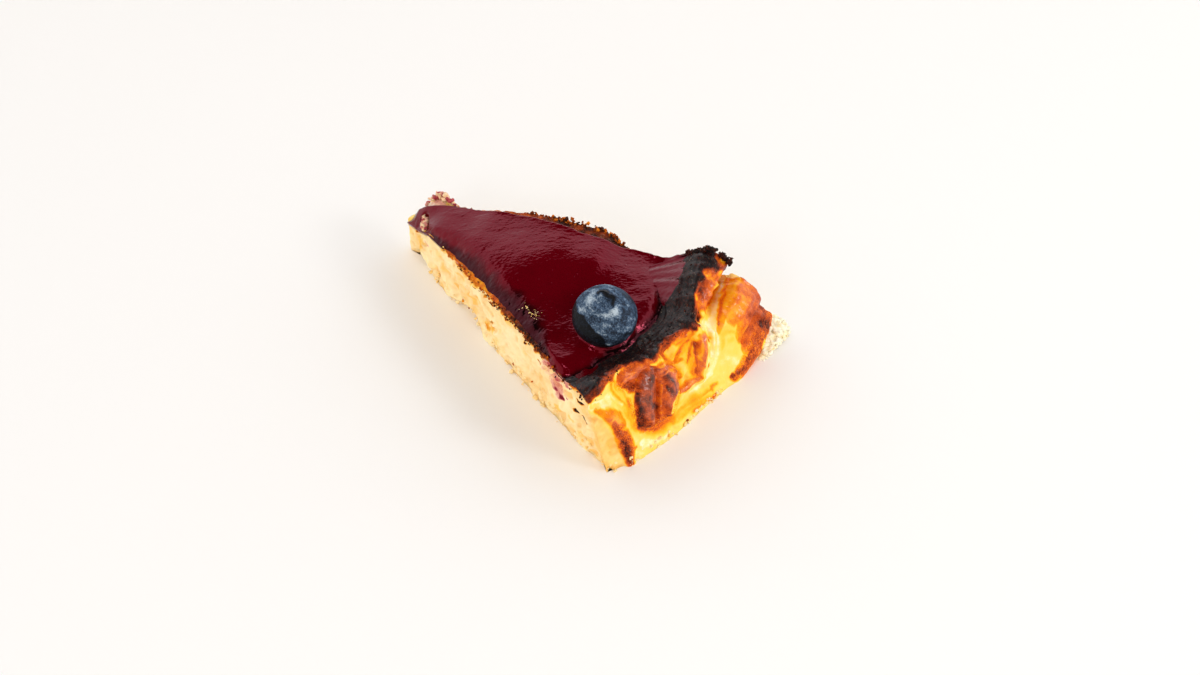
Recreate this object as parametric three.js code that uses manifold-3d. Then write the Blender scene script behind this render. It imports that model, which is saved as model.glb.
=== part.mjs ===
// One slice of a burnt-top cheesecake with a berry glaze and a single blueberry.
// Millimetres, +Z up. The slice rests on z = 0 and its point looks along -X. The origin is the
// centre of the underside of its bounding box. Most shapes are worked out round the cake's own
// centre, the place where the two knife cuts meet: r is the distance from it and a the angle
// from the slice's middle line, in degrees, from -HALF_ANGLE on the near cut to +HALF_ANGLE on
// the far one.
import * as THREE from "three";
import { mergeVertices } from "three/addons/utils/BufferGeometryUtils.js";
import Module from "manifold-3d";

const wasm = await Module();
wasm.setup();

// The whole cake and how it was cut
const HALF_ANGLE = 17.8;
const CAKE_CENTRE = { x: -64.2, y: -4.7 };
const POINT_RADIUS = 6.0;
const POINT_ROUNDING = 1.5;

// Sizes along the crust, each as [angle, millimetres]
const FOOT_RADIUS = curve(
  [-17.8, 116.6], [-10, 118.8], [0, 119.4], [5, 120.6], [10, 123.2], [14, 123.6], [17.8, 122.6],
);
const RIM_RADIUS = curve(
  [-17.8, 107.5], [-15, 107.8], [-11.5, 106], [-8, 106.4], [-5, 109.2], [-1.5, 107.2],
  [2, 109], [4.7, 110.2], [8.9, 106.6], [12, 104.6], [17.8, 104.8],
);
const RIM_HEIGHT = curve(
  [-17.8, 24.6], [-12, 28.6], [-5, 27.2], [2, 26.6], [6, 28], [9, 30.5], [12, 32], [17.8, 31.8],
);
const RIM_STARTS = curve([-17.8, 94.5], [-10, 97.5], [-3, 99.5], [4, 99], [10, 94], [17.8, 88.5]);
const RIM_ENDS = curve(
  [-17.8, 103.5], [-12, 106.5], [-5, 108.5], [2, 109], [6, 109], [10, 106.4], [17.8, 103],
);
const RIM_CRAG = 0.32;
const RIM_TUCK = 1.1;

// Height of the cake's top along each cut, each as [radius, millimetres]
const NEAR_TOP = curve(
  [0, 12], [12, 15.6], [20, 19.2], [35, 20.6], [50, 21.6], [65, 22.8], [80, 22.8], [92, 22.2], [110, 22.6],
);
const FAR_TOP = curve(
  [0, 11], [4, 12.6], [11, 18.8], [17, 20.9], [29, 22.9], [35, 24.8], [42, 25.6], [49, 26.5],
  [58, 27.1], [65, 26.5], [70, 26.1], [72.5, 25.5], [77, 23.2], [80, 22.9], [88, 22.9], [110, 22.6],
);

// Low swells of the top between the cuts: radius and angle of each middle, and its height. They
// fade out towards the cuts over the two fades, and towards the rim between the two radii.
const SWELLS = [
  { r: 21, a: 0, height: 0.5 },
  { r: 30, a: -8.9, height: 1.06 },
  { r: 39, a: -11.9, height: 0.95 },
  { r: 39, a: 0, height: 0.56 },
  { r: 48, a: -11.9, height: 1.35 },
  { r: 48, a: 0, height: 0.62 },
  { r: 57, a: -13.4, height: 0.51 },
  { r: 57, a: -4.4, height: 1.24 },
  { r: 57, a: 4.4, height: 0.46 },
  { r: 66, a: 7.1, height: 0.59 },
  { r: 75, a: 7.1, height: 1.05 },
  { r: 93, a: 3, height: 0.59 },
  { r: 93, a: 14.8, height: -0.55 },
];
const SWELL = { spread: 9, nearFade: 6, farFade: 5, fadesFrom: 90, fadesTo: 99 };

// How far each cut stands out from its straight line, at the foot and at the top edge
const NEAR_FOOT_OUT = curve(
  [0, -4], [12, -3.5], [19, 0], [30, 0.8], [38, -2], [42, -2.8], [47, 0.2], [62, 0.9], [75, 1.4],
  [90, 1], [105, 0.2], [118, -1.6],
);
const FAR_TOP_OUT = curve([0, 0], [30, 0.2], [45, 1.3], [60, 1.6], [70, 1.6], [75, 0.6], [80, 0], [120, 0]);
const FOOT_BAND = 0.3;

// The rolled fold of crust at the far corner: radius and height from foot to rim
const FAR_FOLD = [
  [123.6, 0], [123.8, 3], [122.8, 8.5], [121.2, 14], [119, 19.2], [114.8, 22.8], [111.4, 22.2],
  [106.4, 18.8], [107, 23], [109.8, 27.6], [107.6, 30.4], [104.8, 31.8],
];
const FAR_FOLD_STARTS = 5.5;
const FAR_FOLD_FULL = 15;

// Lobes that the crumpled baking paper left on the crust. Each is a dome: the angle and the share
// of the wall's height of its middle, its half length and half width, its lean from upright in
// degrees, and how far it stands out.
const CRUST_LOBES = [
  { angle: -14.6, share: 0.46, long: 12, wide: 2.7, lean: 16, out: 1.5 },
  { angle: -12, share: 0.5, long: 13, wide: 2.4, lean: -3, out: 0.6 },
  { angle: -9, share: 0.88, long: 5.5, wide: 2.8, lean: -80, out: 2.1 },
  { angle: -5.4, share: 0.62, long: 9, wide: 7.4, lean: 0, out: 1.9 },
  { angle: -8.2, share: 0.6, long: 8.5, wide: 3.3, lean: -25, out: 3.3 },
  { angle: -4.1, share: 0.62, long: 8.5, wide: 4.2, lean: -8, out: 3.3 },
  { angle: 1.2, share: 0.7, long: 8, wide: 4.6, lean: -40, out: 1.5 },
  { angle: 4, share: 0.61, long: 8, wide: 3.6, lean: -26, out: 3.1 },
  { angle: -0.5, share: 0.39, long: 3.8, wide: 1.5, lean: -88, out: 1.2 },
  { angle: 0.4, share: 0.15, long: 11, wide: 3.2, lean: -90, out: 1 },
  { angle: 12.8, share: 0.1, long: 10.5, wide: 2.7, lean: -86, out: 1 },
  { angle: 9.6, share: 0.82, long: 6, wide: 2.3, lean: -90, out: 0.8 },
];
// How much of a lobe's height goes outwards, and how much of it upwards
const LOBE_OUTWARD = 0.94;
const LOBE_UPWARD = 0.34;

// Soft crumb squeezed out at the foot of the far corner
const SPILL = { radius: 124.5, spread: 9, height: 8.5, out: 6.5, forward: 6.2, startsAt: 10 };

// Crumb that the knife smeared over the top of the far cut, by the point
const SMEAR = { radius: 13.5, spread: 4.2, out: 4.4, from: 0.45, to: 0.8 };

// Knife drag and curds on the cuts
const CURD_RELIEF = 0.45;
const CURD_PITCH = 6.2;
const CURD_SHIFT = 40;

// The glaze
const GLAZE_THICKNESS = 1.7;
const GLAZE_GAP = 0.35;
const GLAZE_ROUNDING = 0.99;
const GLAZE_EDGE_WAVE = 0.15;
const GLAZE_OUTER = curve(
  [-17.8, 94.6], [-15, 95.4], [-12, 96], [-9.8, 95.6], [-7.4, 96.4], [-5.4, 97.2], [-2.7, 97.4],
  [0, 97.4], [2.3, 97.8], [5.9, 96.8], [8.8, 95], [11, 95.2], [13.6, 95.8], [16.5, 96.6], [17.8, 97.8],
);
const GLAZE_NEAR_INSET = curve([0, 0.3], [25, 0.4], [35, 1.2], [60, 1.6], [80, 1.2], [90, 0.6], [110, 1.2]);
const GLAZE_FAR_INSET = curve(
  [0, 0.5], [34, 0.6], [45, 0.9], [55, 1.4], [62, 2.2], [71, 2.2], [75, 1.8], [80, 0.6], [110, 0.5],
);
const GLAZE_POINT = { radius: 7.2, rounding: 0.4, share: 0.8 };
const GLAZE_CORNERS = { near: 0.5, far: 0.4 };

// The blueberry
const BERRY = { r: 89.1, a: -4.5, halfWidth: 9.8, halfHeight: 8.3, middle: 7.05, seatGap: 0.3 };
const CROWN = { radius: 4.1, width: 1.1, height: 0.7, hollow: 1.5, points: 5, pointed: 0.16 };

// How finely the surfaces are divided, and the middle that the rings of the top shrink towards
const TOP_MIDDLE = { r: 62, a: 0 };
const NEAR_COLUMNS = 34;
const CRUST_COLUMNS = 52;
const FAR_COLUMNS = 28;
const POINT_COLUMNS = 4;
const WALL_ROWS = 15;
const BAND_RINGS = 3;
const GLAZE_RINGS = 6;
const BERRY_COLUMNS = 30;
const BERRY_ROWS = 18;

const MATERIALS = {
  crumb: new THREE.MeshStandardMaterial({ color: 0xf3d7a0, roughness: 0.75, metalness: 0 }),
  glaze: new THREE.MeshStandardMaterial({ color: 0x5a0414, roughness: 0.12, metalness: 0 }),
  berry: new THREE.MeshStandardMaterial({ color: 0x3a4759, roughness: 0.55, metalness: 0 }),
};

// A smooth function through a few [x, y] points, level beyond the first and the last.
function curve(...points) {
  const slopes = points.map((p, i) => {
    const before = points[Math.max(0, i - 1)];
    const after = points[Math.min(points.length - 1, i + 1)];
    return (after[1] - before[1]) / (after[0] - before[0]);
  });
  return (x) => {
    const last = points.length - 1;
    if (x <= points[0][0]) return points[0][1];
    if (x >= points[last][0]) return points[last][1];
    const i = points.findIndex((p) => p[0] > x) - 1;
    const span = points[i + 1][0] - points[i][0];
    const t = (x - points[i][0]) / span;
    return (
      (2 * t ** 3 - 3 * t ** 2 + 1) * points[i][1] +
      (t ** 3 - 2 * t ** 2 + t) * span * slopes[i] +
      (3 * t ** 2 - 2 * t ** 3) * points[i + 1][1] +
      (t ** 3 - t ** 2) * span * slopes[i + 1]
    );
  };
}

function mix(from, to, share) {
  return from + (to - from) * share;
}

// 0 before start, 1 after end, and smooth between them.
function step(start, end, x) {
  const t = Math.min(1, Math.max(0, (x - start) / (end - start)));
  return t * t * (3 - 2 * t);
}

function bell(x, middle, spread) {
  return Math.exp(-(((x - middle) / spread) ** 2));
}

function radians(degrees) {
  return (degrees * Math.PI) / 180;
}

// A point in the part's frame from the cake's own radius, angle and height.
function place(r, a, z) {
  return [
    CAKE_CENTRE.x + r * Math.cos(radians(a)),
    CAKE_CENTRE.y + r * Math.sin(radians(a)),
    z,
  ];
}

// Radius and angle round the cake's centre of a point in the part's frame.
function polar(x, y) {
  const dx = x - CAKE_CENTRE.x;
  const dy = y - CAKE_CENTRE.y;
  return { r: Math.hypot(dx, dy), a: (Math.atan2(dy, dx) * 180) / Math.PI };
}

// Broken edge of the rim: two waves whose lengths never line up.
function crag(a) {
  return RIM_CRAG * (Math.sin(a * 1.7 + 0.6) + 0.8 * Math.sin(a * 3.1 + 2));
}

// Rounded heaps on the top that fade out towards the cuts and the rim.
function swell(r, a) {
  let height = 0;
  for (const heap of SWELLS) {
    const across = heap.r * Math.sin(radians(a - heap.a));
    const along = r - heap.r * Math.cos(radians(a - heap.a));
    height += heap.height * bell(Math.hypot(across, along), 0, SWELL.spread);
  }
  const fromNear = r * Math.sin(radians(HALF_ANGLE + a));
  const fromFar = r * Math.sin(radians(HALF_ANGLE - a));
  const inside = step(0, SWELL.nearFade, fromNear) * step(0, SWELL.farFade, fromFar);
  return height * inside * (1 - step(SWELL.fadesFrom, SWELL.fadesTo, r));
}

// Height of the cake's top: a pool between the two cuts that rises to the burnt rim.
function topHeight(r, a) {
  const across = step(-HALF_ANGLE, HALF_ANGLE, a);
  const pool = mix(NEAR_TOP(r), FAR_TOP(r), across) + swell(r, a);
  return mix(pool, RIM_HEIGHT(a) + crag(a), step(RIM_STARTS(a), RIM_ENDS(a), r));
}

// Lumps of the cut crumb: three sets of bent waves that cross, so that no row of them shows.
function curd(along, up) {
  const k = (2 * Math.PI) / CURD_PITCH;
  const bentAlong = along + 1.7 * Math.sin(0.45 * up + 0.11 * along);
  const bentUp = up + 1.3 * Math.sin(0.37 * along);
  return (
    CURD_RELIEF *
    (Math.sin(bentAlong * k) * Math.sin(bentUp * k * 0.8 + 1.1) +
      0.7 * Math.sin(bentAlong * k * 0.43 + bentUp * 0.35) +
      0.5 * Math.sin(bentUp * k * 1.3 - bentAlong * k * 0.61))
  );
}

// How far the lobes of the crust stand out at an angle and a share of the wall's height.
function lobes(a, share) {
  let out = 0;
  for (const lobe of CRUST_LOBES) {
    const x = radians(a - lobe.angle) * FOOT_RADIUS(0);
    const y = (share - lobe.share) * RIM_HEIGHT(0);
    const lean = radians(lobe.lean);
    const along = y * Math.cos(lean) - x * Math.sin(lean);
    const across = y * Math.sin(lean) + x * Math.cos(lean);
    const inside = 1 - (along / lobe.long) ** 2 - (across / lobe.wide) ** 2;
    if (inside > 0) out = Math.max(out, lobe.out * inside ** 0.6);
  }
  return out;
}

// A point of the crust's wall. Its plain form is a leaning cone, and the far corner's fold takes
// over from it towards the far cut.
function wallPoint(a, share) {
  const foot = FOOT_RADIUS(a);
  const fold = step(FAR_FOLD_STARTS, FAR_FOLD_FULL, a);
  const at = share * (FAR_FOLD.length - 1);
  const i = Math.min(FAR_FOLD.length - 2, Math.floor(at));
  const foldR = mix(FAR_FOLD[i][0], FAR_FOLD[i + 1][0], at - i);
  const foldZ = mix(FAR_FOLD[i][1], FAR_FOLD[i + 1][1], at - i);
  const top = topHeight(RIM_RADIUS(a), a);
  const tuck = RIM_TUCK * bell(share, 0.84, 0.09) * (1 - fold);
  const bump = lobes(a, share) - tuck;
  const r = mix(mix(foot, RIM_RADIUS(a), share), foldR, fold) + bump * LOBE_OUTWARD;
  const z = mix(share * top, (foldZ * top) / FAR_FOLD[FAR_FOLD.length - 1][1], fold);
  const low = 1 - step(0, SPILL.height, z);
  const spill = SPILL.forward * low * step(SPILL.startsAt, HALF_ANGLE, a);
  const raised = LOBE_UPWARD * bump * step(0, 0.2, share) * (1 - step(0.8, 1, share));
  return { r: r + spill, z: z + raised };
}

// A point of one cut, side -1 for the near one and 1 for the far one: how far along from the
// point to the crust, and the share of the height.
function cutPoint(side, along, share) {
  const a = side * HALF_ANGLE;
  const corner = wallPoint(a, share);
  const r = mix(POINT_RADIUS, corner.r, along);
  const top = topHeight(r, a);
  const cornerZ = (corner.z * top) / topHeight(RIM_RADIUS(a), a);
  const z = mix(share * top, cornerZ, step(0.86, 1, along));
  const foot = 1 - step(0, FOOT_BAND, share);
  let out = curd(r + CURD_SHIFT * (side + 1), z) * step(0, 0.12, share) * step(0, 0.06, 1 - share);
  if (side < 0) out += NEAR_FOOT_OUT(r) * foot;
  else {
    out += FAR_TOP_OUT(r) * step(0.35, 1, share) + 0.8 * foot;
    out += SMEAR.out * bell(r, SMEAR.radius, SMEAR.spread) * step(SMEAR.from, SMEAR.to, share);
    out += SPILL.out * bell(r, SPILL.radius, SPILL.spread) * (1 - step(0, SPILL.height, z));
  }
  out *= step(0, 0.05, along) * (side < 0 ? step(0, 0.04, 1 - along) : 1);
  const p = place(r, a, z);
  p[0] -= out * side * Math.sin(radians(a));
  p[1] += out * side * Math.cos(radians(a));
  return p;
}

// The slice's outline at one share of its height, from the point along the near cut, round the
// crust, back along the far cut and over the rounded point.
function outline(share) {
  const points = [];
  for (let i = 0; i < NEAR_COLUMNS; i++) points.push(cutPoint(-1, i / NEAR_COLUMNS, share));
  points.push(cutPoint(-1, 1, share));
  for (let i = 1; i < CRUST_COLUMNS; i++) {
    const a = mix(-HALF_ANGLE, HALF_ANGLE, i / CRUST_COLUMNS);
    const p = wallPoint(a, share);
    points.push(place(p.r, a, p.z));
  }
  points.push(cutPoint(1, 1, share));
  for (let i = 1; i <= FAR_COLUMNS; i++) points.push(cutPoint(1, 1 - i / FAR_COLUMNS, share));
  for (let i = 1; i < POINT_COLUMNS; i++) {
    const turn = (Math.PI * i) / POINT_COLUMNS;
    const a = HALF_ANGLE * Math.cos(turn);
    const r = POINT_RADIUS - POINT_ROUNDING * Math.sin(turn);
    points.push(place(r, a, share * topHeight(r, a)));
  }
  return points;
}

// The glaze's outline, column for column inside the slice's own: set in from the cuts and
// stopping short of the burnt rim.
function glazeOutline() {
  const points = [];
  const cut = (side, along) => {
    const a = side * HALF_ANGLE;
    const r = mix(GLAZE_POINT.radius, GLAZE_OUTER(a), along);
    const inset = side < 0 ? GLAZE_NEAR_INSET(r) : GLAZE_FAR_INSET(r);
    const [x, y] = place(r, a, 0);
    points.push([x + inset * side * Math.sin(radians(a)), y - inset * side * Math.cos(radians(a))]);
  };
  for (let i = 0; i <= NEAR_COLUMNS; i++) cut(-1, i / NEAR_COLUMNS);
  for (let i = 1; i < CRUST_COLUMNS; i++) {
    const a = mix(GLAZE_CORNERS.near - HALF_ANGLE, HALF_ANGLE - GLAZE_CORNERS.far, i / CRUST_COLUMNS);
    points.push(place(GLAZE_OUTER(a) + GLAZE_EDGE_WAVE * Math.sin(a * 1.9), a, 0));
  }
  for (let i = 0; i <= FAR_COLUMNS; i++) cut(1, 1 - i / FAR_COLUMNS);
  for (let i = 1; i < POINT_COLUMNS; i++) {
    const turn = (Math.PI * i) / POINT_COLUMNS;
    const r = GLAZE_POINT.radius - GLAZE_POINT.rounding * Math.sin(turn);
    points.push(place(r, GLAZE_POINT.share * HALF_ANGLE * Math.cos(turn), 0));
  }
  return points;
}

// Points on the cake's top, a share of the way from its middle out to each point of an outline,
// and raised by a height.
function topRing(border, share, raised) {
  const [mx, my] = place(TOP_MIDDLE.r, TOP_MIDDLE.a, 0);
  return border.map(([x, y]) => {
    const px = mix(mx, x, share);
    const py = mix(my, y, share);
    const { r, a } = polar(px, py);
    return [px, py, topHeight(r, a) + raised];
  });
}

function distance(p, q) {
  return Math.hypot(p[0] - q[0], p[1] - q[1], p[2] - q[2]);
}

// A closed skin over rings of points, shrunk to one point at both ends. Each four-sided patch is
// split along its shorter diagonal, so that two skins an even height apart never cross.
function skin(firstPoint, rings, lastPoint) {
  const columns = rings[0].length;
  const positions = [firstPoint, ...rings.flat(), lastPoint];
  const last = positions.length - 1;
  const index = [];
  for (let c = 0; c < columns; c++) {
    const next = (c + 1) % columns;
    index.push(0, 1 + next, 1 + c);
    for (let row = 0; row < rings.length - 1; row++) {
      const low = 1 + row * columns;
      const high = low + columns;
      const [a, b, d, e] = [low + c, low + next, high + next, high + c];
      if (distance(positions[a], positions[d]) < distance(positions[b], positions[e])) {
        index.push(a, b, d, a, d, e);
      } else index.push(a, b, e, b, d, e);
    }
    const top = 1 + (rings.length - 1) * columns;
    index.push(top + c, top + next, last);
  }
  const geometry = new THREE.BufferGeometry();
  geometry.setAttribute("position", new THREE.Float32BufferAttribute(positions.flat(), 3));
  geometry.setIndex(index);
  return geometry;
}

// The cake: its wall from the foot to the top edge, a bare band, and the part under the glaze.
function cakeGeometry() {
  const rings = [];
  for (let row = 0; row <= WALL_ROWS; row++) rings.push(outline(row / WALL_ROWS));
  for (const p of rings[0]) p[2] = 0;
  const edge = rings[WALL_ROWS];
  const border = glazeOutline();
  for (let i = 1; i < BAND_RINGS; i++) {
    const between = edge.map(([x, y], c) => [
      mix(x, border[c][0], i / BAND_RINGS),
      mix(y, border[c][1], i / BAND_RINGS),
    ]);
    rings.push(topRing(between, 1, 0));
  }
  for (let i = GLAZE_RINGS; i >= 1; i--) rings.push(topRing(border, i / GLAZE_RINGS, 0));
  const top = place(TOP_MIDDLE.r, TOP_MIDDLE.a, topHeight(TOP_MIDDLE.r, TOP_MIDDLE.a));
  return skin([top[0], top[1], 0], rings, top);
}

// The glaze, an even coat a hair above the cake, with a rounded edge.
function glazeGeometry() {
  const border = glazeOutline();
  const upper = GLAZE_GAP + GLAZE_THICKNESS;
  const rings = [];
  for (let i = 1; i <= GLAZE_RINGS; i++) rings.push(topRing(border, i / GLAZE_RINGS, GLAZE_GAP));
  rings.push(topRing(border, GLAZE_ROUNDING, GLAZE_GAP + 0.8 * GLAZE_THICKNESS));
  for (let i = GLAZE_RINGS - 1; i >= 1; i--) rings.push(topRing(border, i / GLAZE_RINGS, upper));
  const low = topHeight(TOP_MIDDLE.r, TOP_MIDDLE.a);
  const [x, y] = place(TOP_MIDDLE.r, TOP_MIDDLE.a, 0);
  return skin([x, y, low + GLAZE_GAP], rings, [x, y, low + upper]);
}

// The berry's distance from its middle at a turn round its stalk line and a tilt above its waist:
// an oblate ball with a star-shaped crown round a shallow hollow on top.
function berryPoint(turn, tilt) {
  const flat = Math.cos(tilt) * BERRY.halfWidth;
  const crownRadius = CROWN.radius * (1 + CROWN.pointed * Math.cos(CROWN.points * turn));
  const upper = Math.sin(tilt) > 0 ? 1 : 0;
  const ridge = upper * CROWN.height * bell(flat, crownRadius, CROWN.width);
  const hollow = upper * CROWN.hollow * (1 - step(0.35 * crownRadius, 0.95 * crownRadius, flat));
  return [flat * Math.cos(turn), flat * Math.sin(turn), BERRY.halfHeight * Math.sin(tilt) + ridge - hollow];
}

// Rings are closer together round the crown than on the berry's side. The whole ball is as much
// larger all round as it is grown.
function ballGeometry(grown) {
  const rings = [];
  for (let row = 1; row < BERRY_ROWS; row++) {
    const t = row / BERRY_ROWS;
    const tilt = Math.PI * (t - 0.5) + 0.16 * Math.sin(2 * Math.PI * t) * step(0.5, 1, t);
    const ring = [];
    for (let c = 0; c < BERRY_COLUMNS; c++) ring.push(berryPoint((2 * Math.PI * c) / BERRY_COLUMNS, tilt));
    rings.push(ring);
  }
  const geometry = skin([0, 0, -BERRY.halfHeight], rings, [0, 0, BERRY.halfHeight - CROWN.hollow]);
  const size = 1 + grown / BERRY.halfHeight;
  geometry.scale(size, size, size);
  const [x, y] = place(BERRY.r, BERRY.a, 0);
  geometry.translate(x, y, topHeight(BERRY.r, BERRY.a) + BERRY.middle);
  return geometry;
}

// The berry, whose underside is pressed flat a hair above the cake's top.
function berryGeometry() {
  const geometry = ballGeometry(0);
  const points = geometry.attributes.position;
  for (let i = 0; i < points.count; i++) {
    const { r, a } = polar(points.getX(i), points.getY(i));
    points.setZ(i, Math.max(points.getZ(i), topHeight(r, a) + GLAZE_GAP));
  }
  return geometry;
}

// A geometry as a solid that can be cut, and back again.
function solidOf(geometry) {
  const merged = mergeVertices(geometry, 1e-4);
  return new wasm.Manifold(
    new wasm.Mesh({
      numProp: 3,
      vertProperties: merged.attributes.position.array,
      triVerts: new Uint32Array(merged.index.array),
    }),
  );
}

function geometryOf(solid) {
  const mesh = solid.getMesh();
  const geometry = new THREE.BufferGeometry();
  geometry.setAttribute("position", new THREE.BufferAttribute(mesh.vertProperties, 3));
  geometry.setIndex(new THREE.BufferAttribute(mesh.triVerts, 1));
  return geometry;
}

function namedMesh(name, geometry, material) {
  const mesh = new THREE.Mesh(geometry, material);
  mesh.name = name;
  return mesh;
}

const seat = solidOf(ballGeometry(BERRY.seatGap));
const glaze = solidOf(glazeGeometry()).subtract(seat);

const slice = new THREE.Group();
slice.add(namedMesh("cheesecake", cakeGeometry(), MATERIALS.crumb));
slice.add(namedMesh("berry_glaze", geometryOf(glaze), MATERIALS.glaze));
slice.add(namedMesh("blueberry", berryGeometry(), MATERIALS.berry));

export default slice;
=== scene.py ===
"""Looks of one slice of burnt-top cheesecake with a berry glaze and a blueberry.

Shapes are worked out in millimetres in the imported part's frame: the slice stands on z = 0 and its
point looks along -X. Most of them are given round the cake's own centre, where the two knife cuts
meet: r is the distance from it and a the angle in degrees from the slice's middle line.
"""
import math
from collections import namedtuple

import bpy
import numpy as np
from bpy.props import FloatProperty, FloatVectorProperty, PointerProperty
from mathutils import Matrix, Vector


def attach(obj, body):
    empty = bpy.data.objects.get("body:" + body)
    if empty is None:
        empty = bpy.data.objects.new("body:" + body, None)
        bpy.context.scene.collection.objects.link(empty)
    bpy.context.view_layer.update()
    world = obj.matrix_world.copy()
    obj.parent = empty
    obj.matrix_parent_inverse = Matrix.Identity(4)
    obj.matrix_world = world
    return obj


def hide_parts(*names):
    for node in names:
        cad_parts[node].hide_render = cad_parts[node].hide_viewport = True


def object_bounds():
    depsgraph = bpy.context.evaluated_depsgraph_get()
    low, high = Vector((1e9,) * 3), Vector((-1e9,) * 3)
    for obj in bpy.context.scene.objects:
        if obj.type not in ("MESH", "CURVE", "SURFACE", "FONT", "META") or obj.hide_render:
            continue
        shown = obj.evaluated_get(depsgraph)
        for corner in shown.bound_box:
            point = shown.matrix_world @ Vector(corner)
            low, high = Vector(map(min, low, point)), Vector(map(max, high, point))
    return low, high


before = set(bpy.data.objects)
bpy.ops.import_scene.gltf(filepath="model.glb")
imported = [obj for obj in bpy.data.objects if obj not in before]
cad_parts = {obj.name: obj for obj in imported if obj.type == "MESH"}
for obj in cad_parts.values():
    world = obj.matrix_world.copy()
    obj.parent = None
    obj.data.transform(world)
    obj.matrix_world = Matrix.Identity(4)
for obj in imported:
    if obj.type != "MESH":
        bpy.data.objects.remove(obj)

bl_info = {
    "name": "Burnt cheesecake slice",
    "version": (1, 0, 0),
    "blender": (4, 5, 0),
    "location": "3D View > Sidebar > Cake",
    "description": "Dresses the packed cheesecake slice with crumb, crust, glaze, berry and crumbs",
    "category": "Object",
}

CAD_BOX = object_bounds()
MM = 0.001


def srgb(red, green, blue):
    """A colour given as 0 to 255 on a screen, in the linear numbers that shaders use."""
    share = np.array([red, green, blue]) / 255
    linear = np.where(share <= 0.04045, share / 12.92, ((share + 0.055) / 1.055) ** 2.4)
    return tuple(float(v) for v in linear)


def tones(*rows):
    """Places and colours along a ramp, from rows of place, red, green and blue."""
    return [(at, srgb(*colour)) for at, *colour in rows]


def curve(*points):
    """A smooth function through (x, value) pairs, level beyond both ends: cubic pieces whose slope at
    each pair is that of the line between its two neighbours."""
    x, y = np.array(points, float).T
    before = np.maximum(np.arange(len(x)) - 1, 0)
    after = np.minimum(np.arange(len(x)) + 1, len(x) - 1)
    slope = (y[after] - y[before]) / (x[after] - x[before])

    def value(at):
        at = np.clip(at, x[0], x[-1])
        i = np.clip(np.searchsorted(x, at, side="right") - 1, 0, len(x) - 2)
        span = x[i + 1] - x[i]
        t = (at - x[i]) / span
        level = (2 * t**3 - 3 * t**2 + 1) * y[i] + (3 * t**2 - 2 * t**3) * y[i + 1]
        return level + span * ((t**3 - 2 * t**2 + t) * slope[i] + (t**3 - t**2) * slope[i + 1])

    return value


# The whole cake and how it was cut
HALF_ANGLE = 17.8
CAKE_CENTRE = np.array([-64.2, -4.7])
POINT_RADIUS = 6.0
POINT_ROUNDING = 1.5

# Sizes along the crust, each as (angle, millimetres)
FOOT_RADIUS = curve(
    (-17.8, 116.6), (-10, 118.8), (0, 119.4), (5, 120.6), (10, 123.2), (14, 123.6), (17.8, 122.6),
)
RIM_RADIUS = curve(
    (-17.8, 107.5), (-15, 107.8), (-11.5, 106), (-8, 106.4), (-5, 109.2), (-1.5, 107.2), (2, 109),
    (4.7, 110.2), (8.9, 106.6), (12, 104.6), (17.8, 104.8),
)
RIM_HEIGHT = curve(
    (-17.8, 24.6), (-12, 28.6), (-5, 27.2), (2, 26.6), (6, 28), (9, 30.5), (12, 32), (17.8, 31.8),
)
RIM_STARTS = curve((-17.8, 94.5), (-10, 97.5), (-3, 99.5), (4, 99), (10, 94), (17.8, 88.5))
RIM_ENDS = curve((-17.8, 103.5), (-12, 106.5), (-5, 108.5), (2, 109), (6, 109), (10, 106.4), (17.8, 103))
RIM_CRAG = 0.32

# The crust draws in just under the rim: by how much, at which share of the height, and how widely
RIM_TUCK = 1.1
RIM_TUCK_AT = 0.84
RIM_TUCK_SPREAD = 0.09

# Height of the cake's top along each cut, each as (radius, millimetres)
NEAR_TOP = curve(
    (0, 12), (12, 15.6), (20, 19.2), (35, 20.6), (50, 21.6), (65, 22.8), (80, 22.8), (92, 22.2),
    (110, 22.6),
)
FAR_TOP = curve(
    (0, 11), (4, 12.6), (11, 18.8), (17, 20.9), (29, 22.9), (35, 24.8), (42, 25.6), (49, 26.5), (58, 27.1),
    (65, 26.5), (70, 26.1), (72.5, 25.5), (77, 23.2), (80, 22.9), (88, 22.9), (110, 22.6),
)

# Low swells of the top between the cuts: radius and angle of each middle, and its height
Swell = namedtuple("Swell", "radius angle height")
SWELLS = [Swell(*row) for row in (
    (12, 0, -0.34), (21, 0, 0.5), (30, -8.9, 1.06), (30, 8.9, -0.3), (39, -11.9, 0.95), (39, 0, 0.56),
    (39, 11.9, -0.32), (48, -11.9, 1.35), (48, 0, 0.62), (48, 11.9, -0.12), (57, -13.4, 0.51),
    (57, -4.4, 1.24), (57, 4.4, 0.46), (57, 13.4, -0.27), (66, -7.1, 0.09), (66, 0, 0.31), (66, 7.1, 0.59),
    (66, 14.2, -0.29), (75, -14.2, 0.2), (75, 7.1, 1.05), (75, 14.2, -0.1), (84, 3, -0.16), (84, 8.9, 0.15),
    (93, -3, 0.19), (93, 3, 0.59), (93, 14.8, -0.55),
)]
SWELL_SPREAD = 9.0

# How far each cut stands out from its straight line, at the foot and at the top edge
NEAR_FOOT_OUT = curve(
    (0, -4), (12, -3.5), (19, 0), (30, 0.8), (38, -2), (42, -2.8), (47, 0.2), (62, 0.9), (75, 1.4), (90, 1),
    (105, 0.2), (118, -1.6),
)
FAR_TOP_OUT = curve((0, 0), (30, 0.2), (45, 1.3), (60, 1.6), (70, 1.6), (75, 0.6), (80, 0), (120, 0))
FOOT_BAND = 0.3

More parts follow.
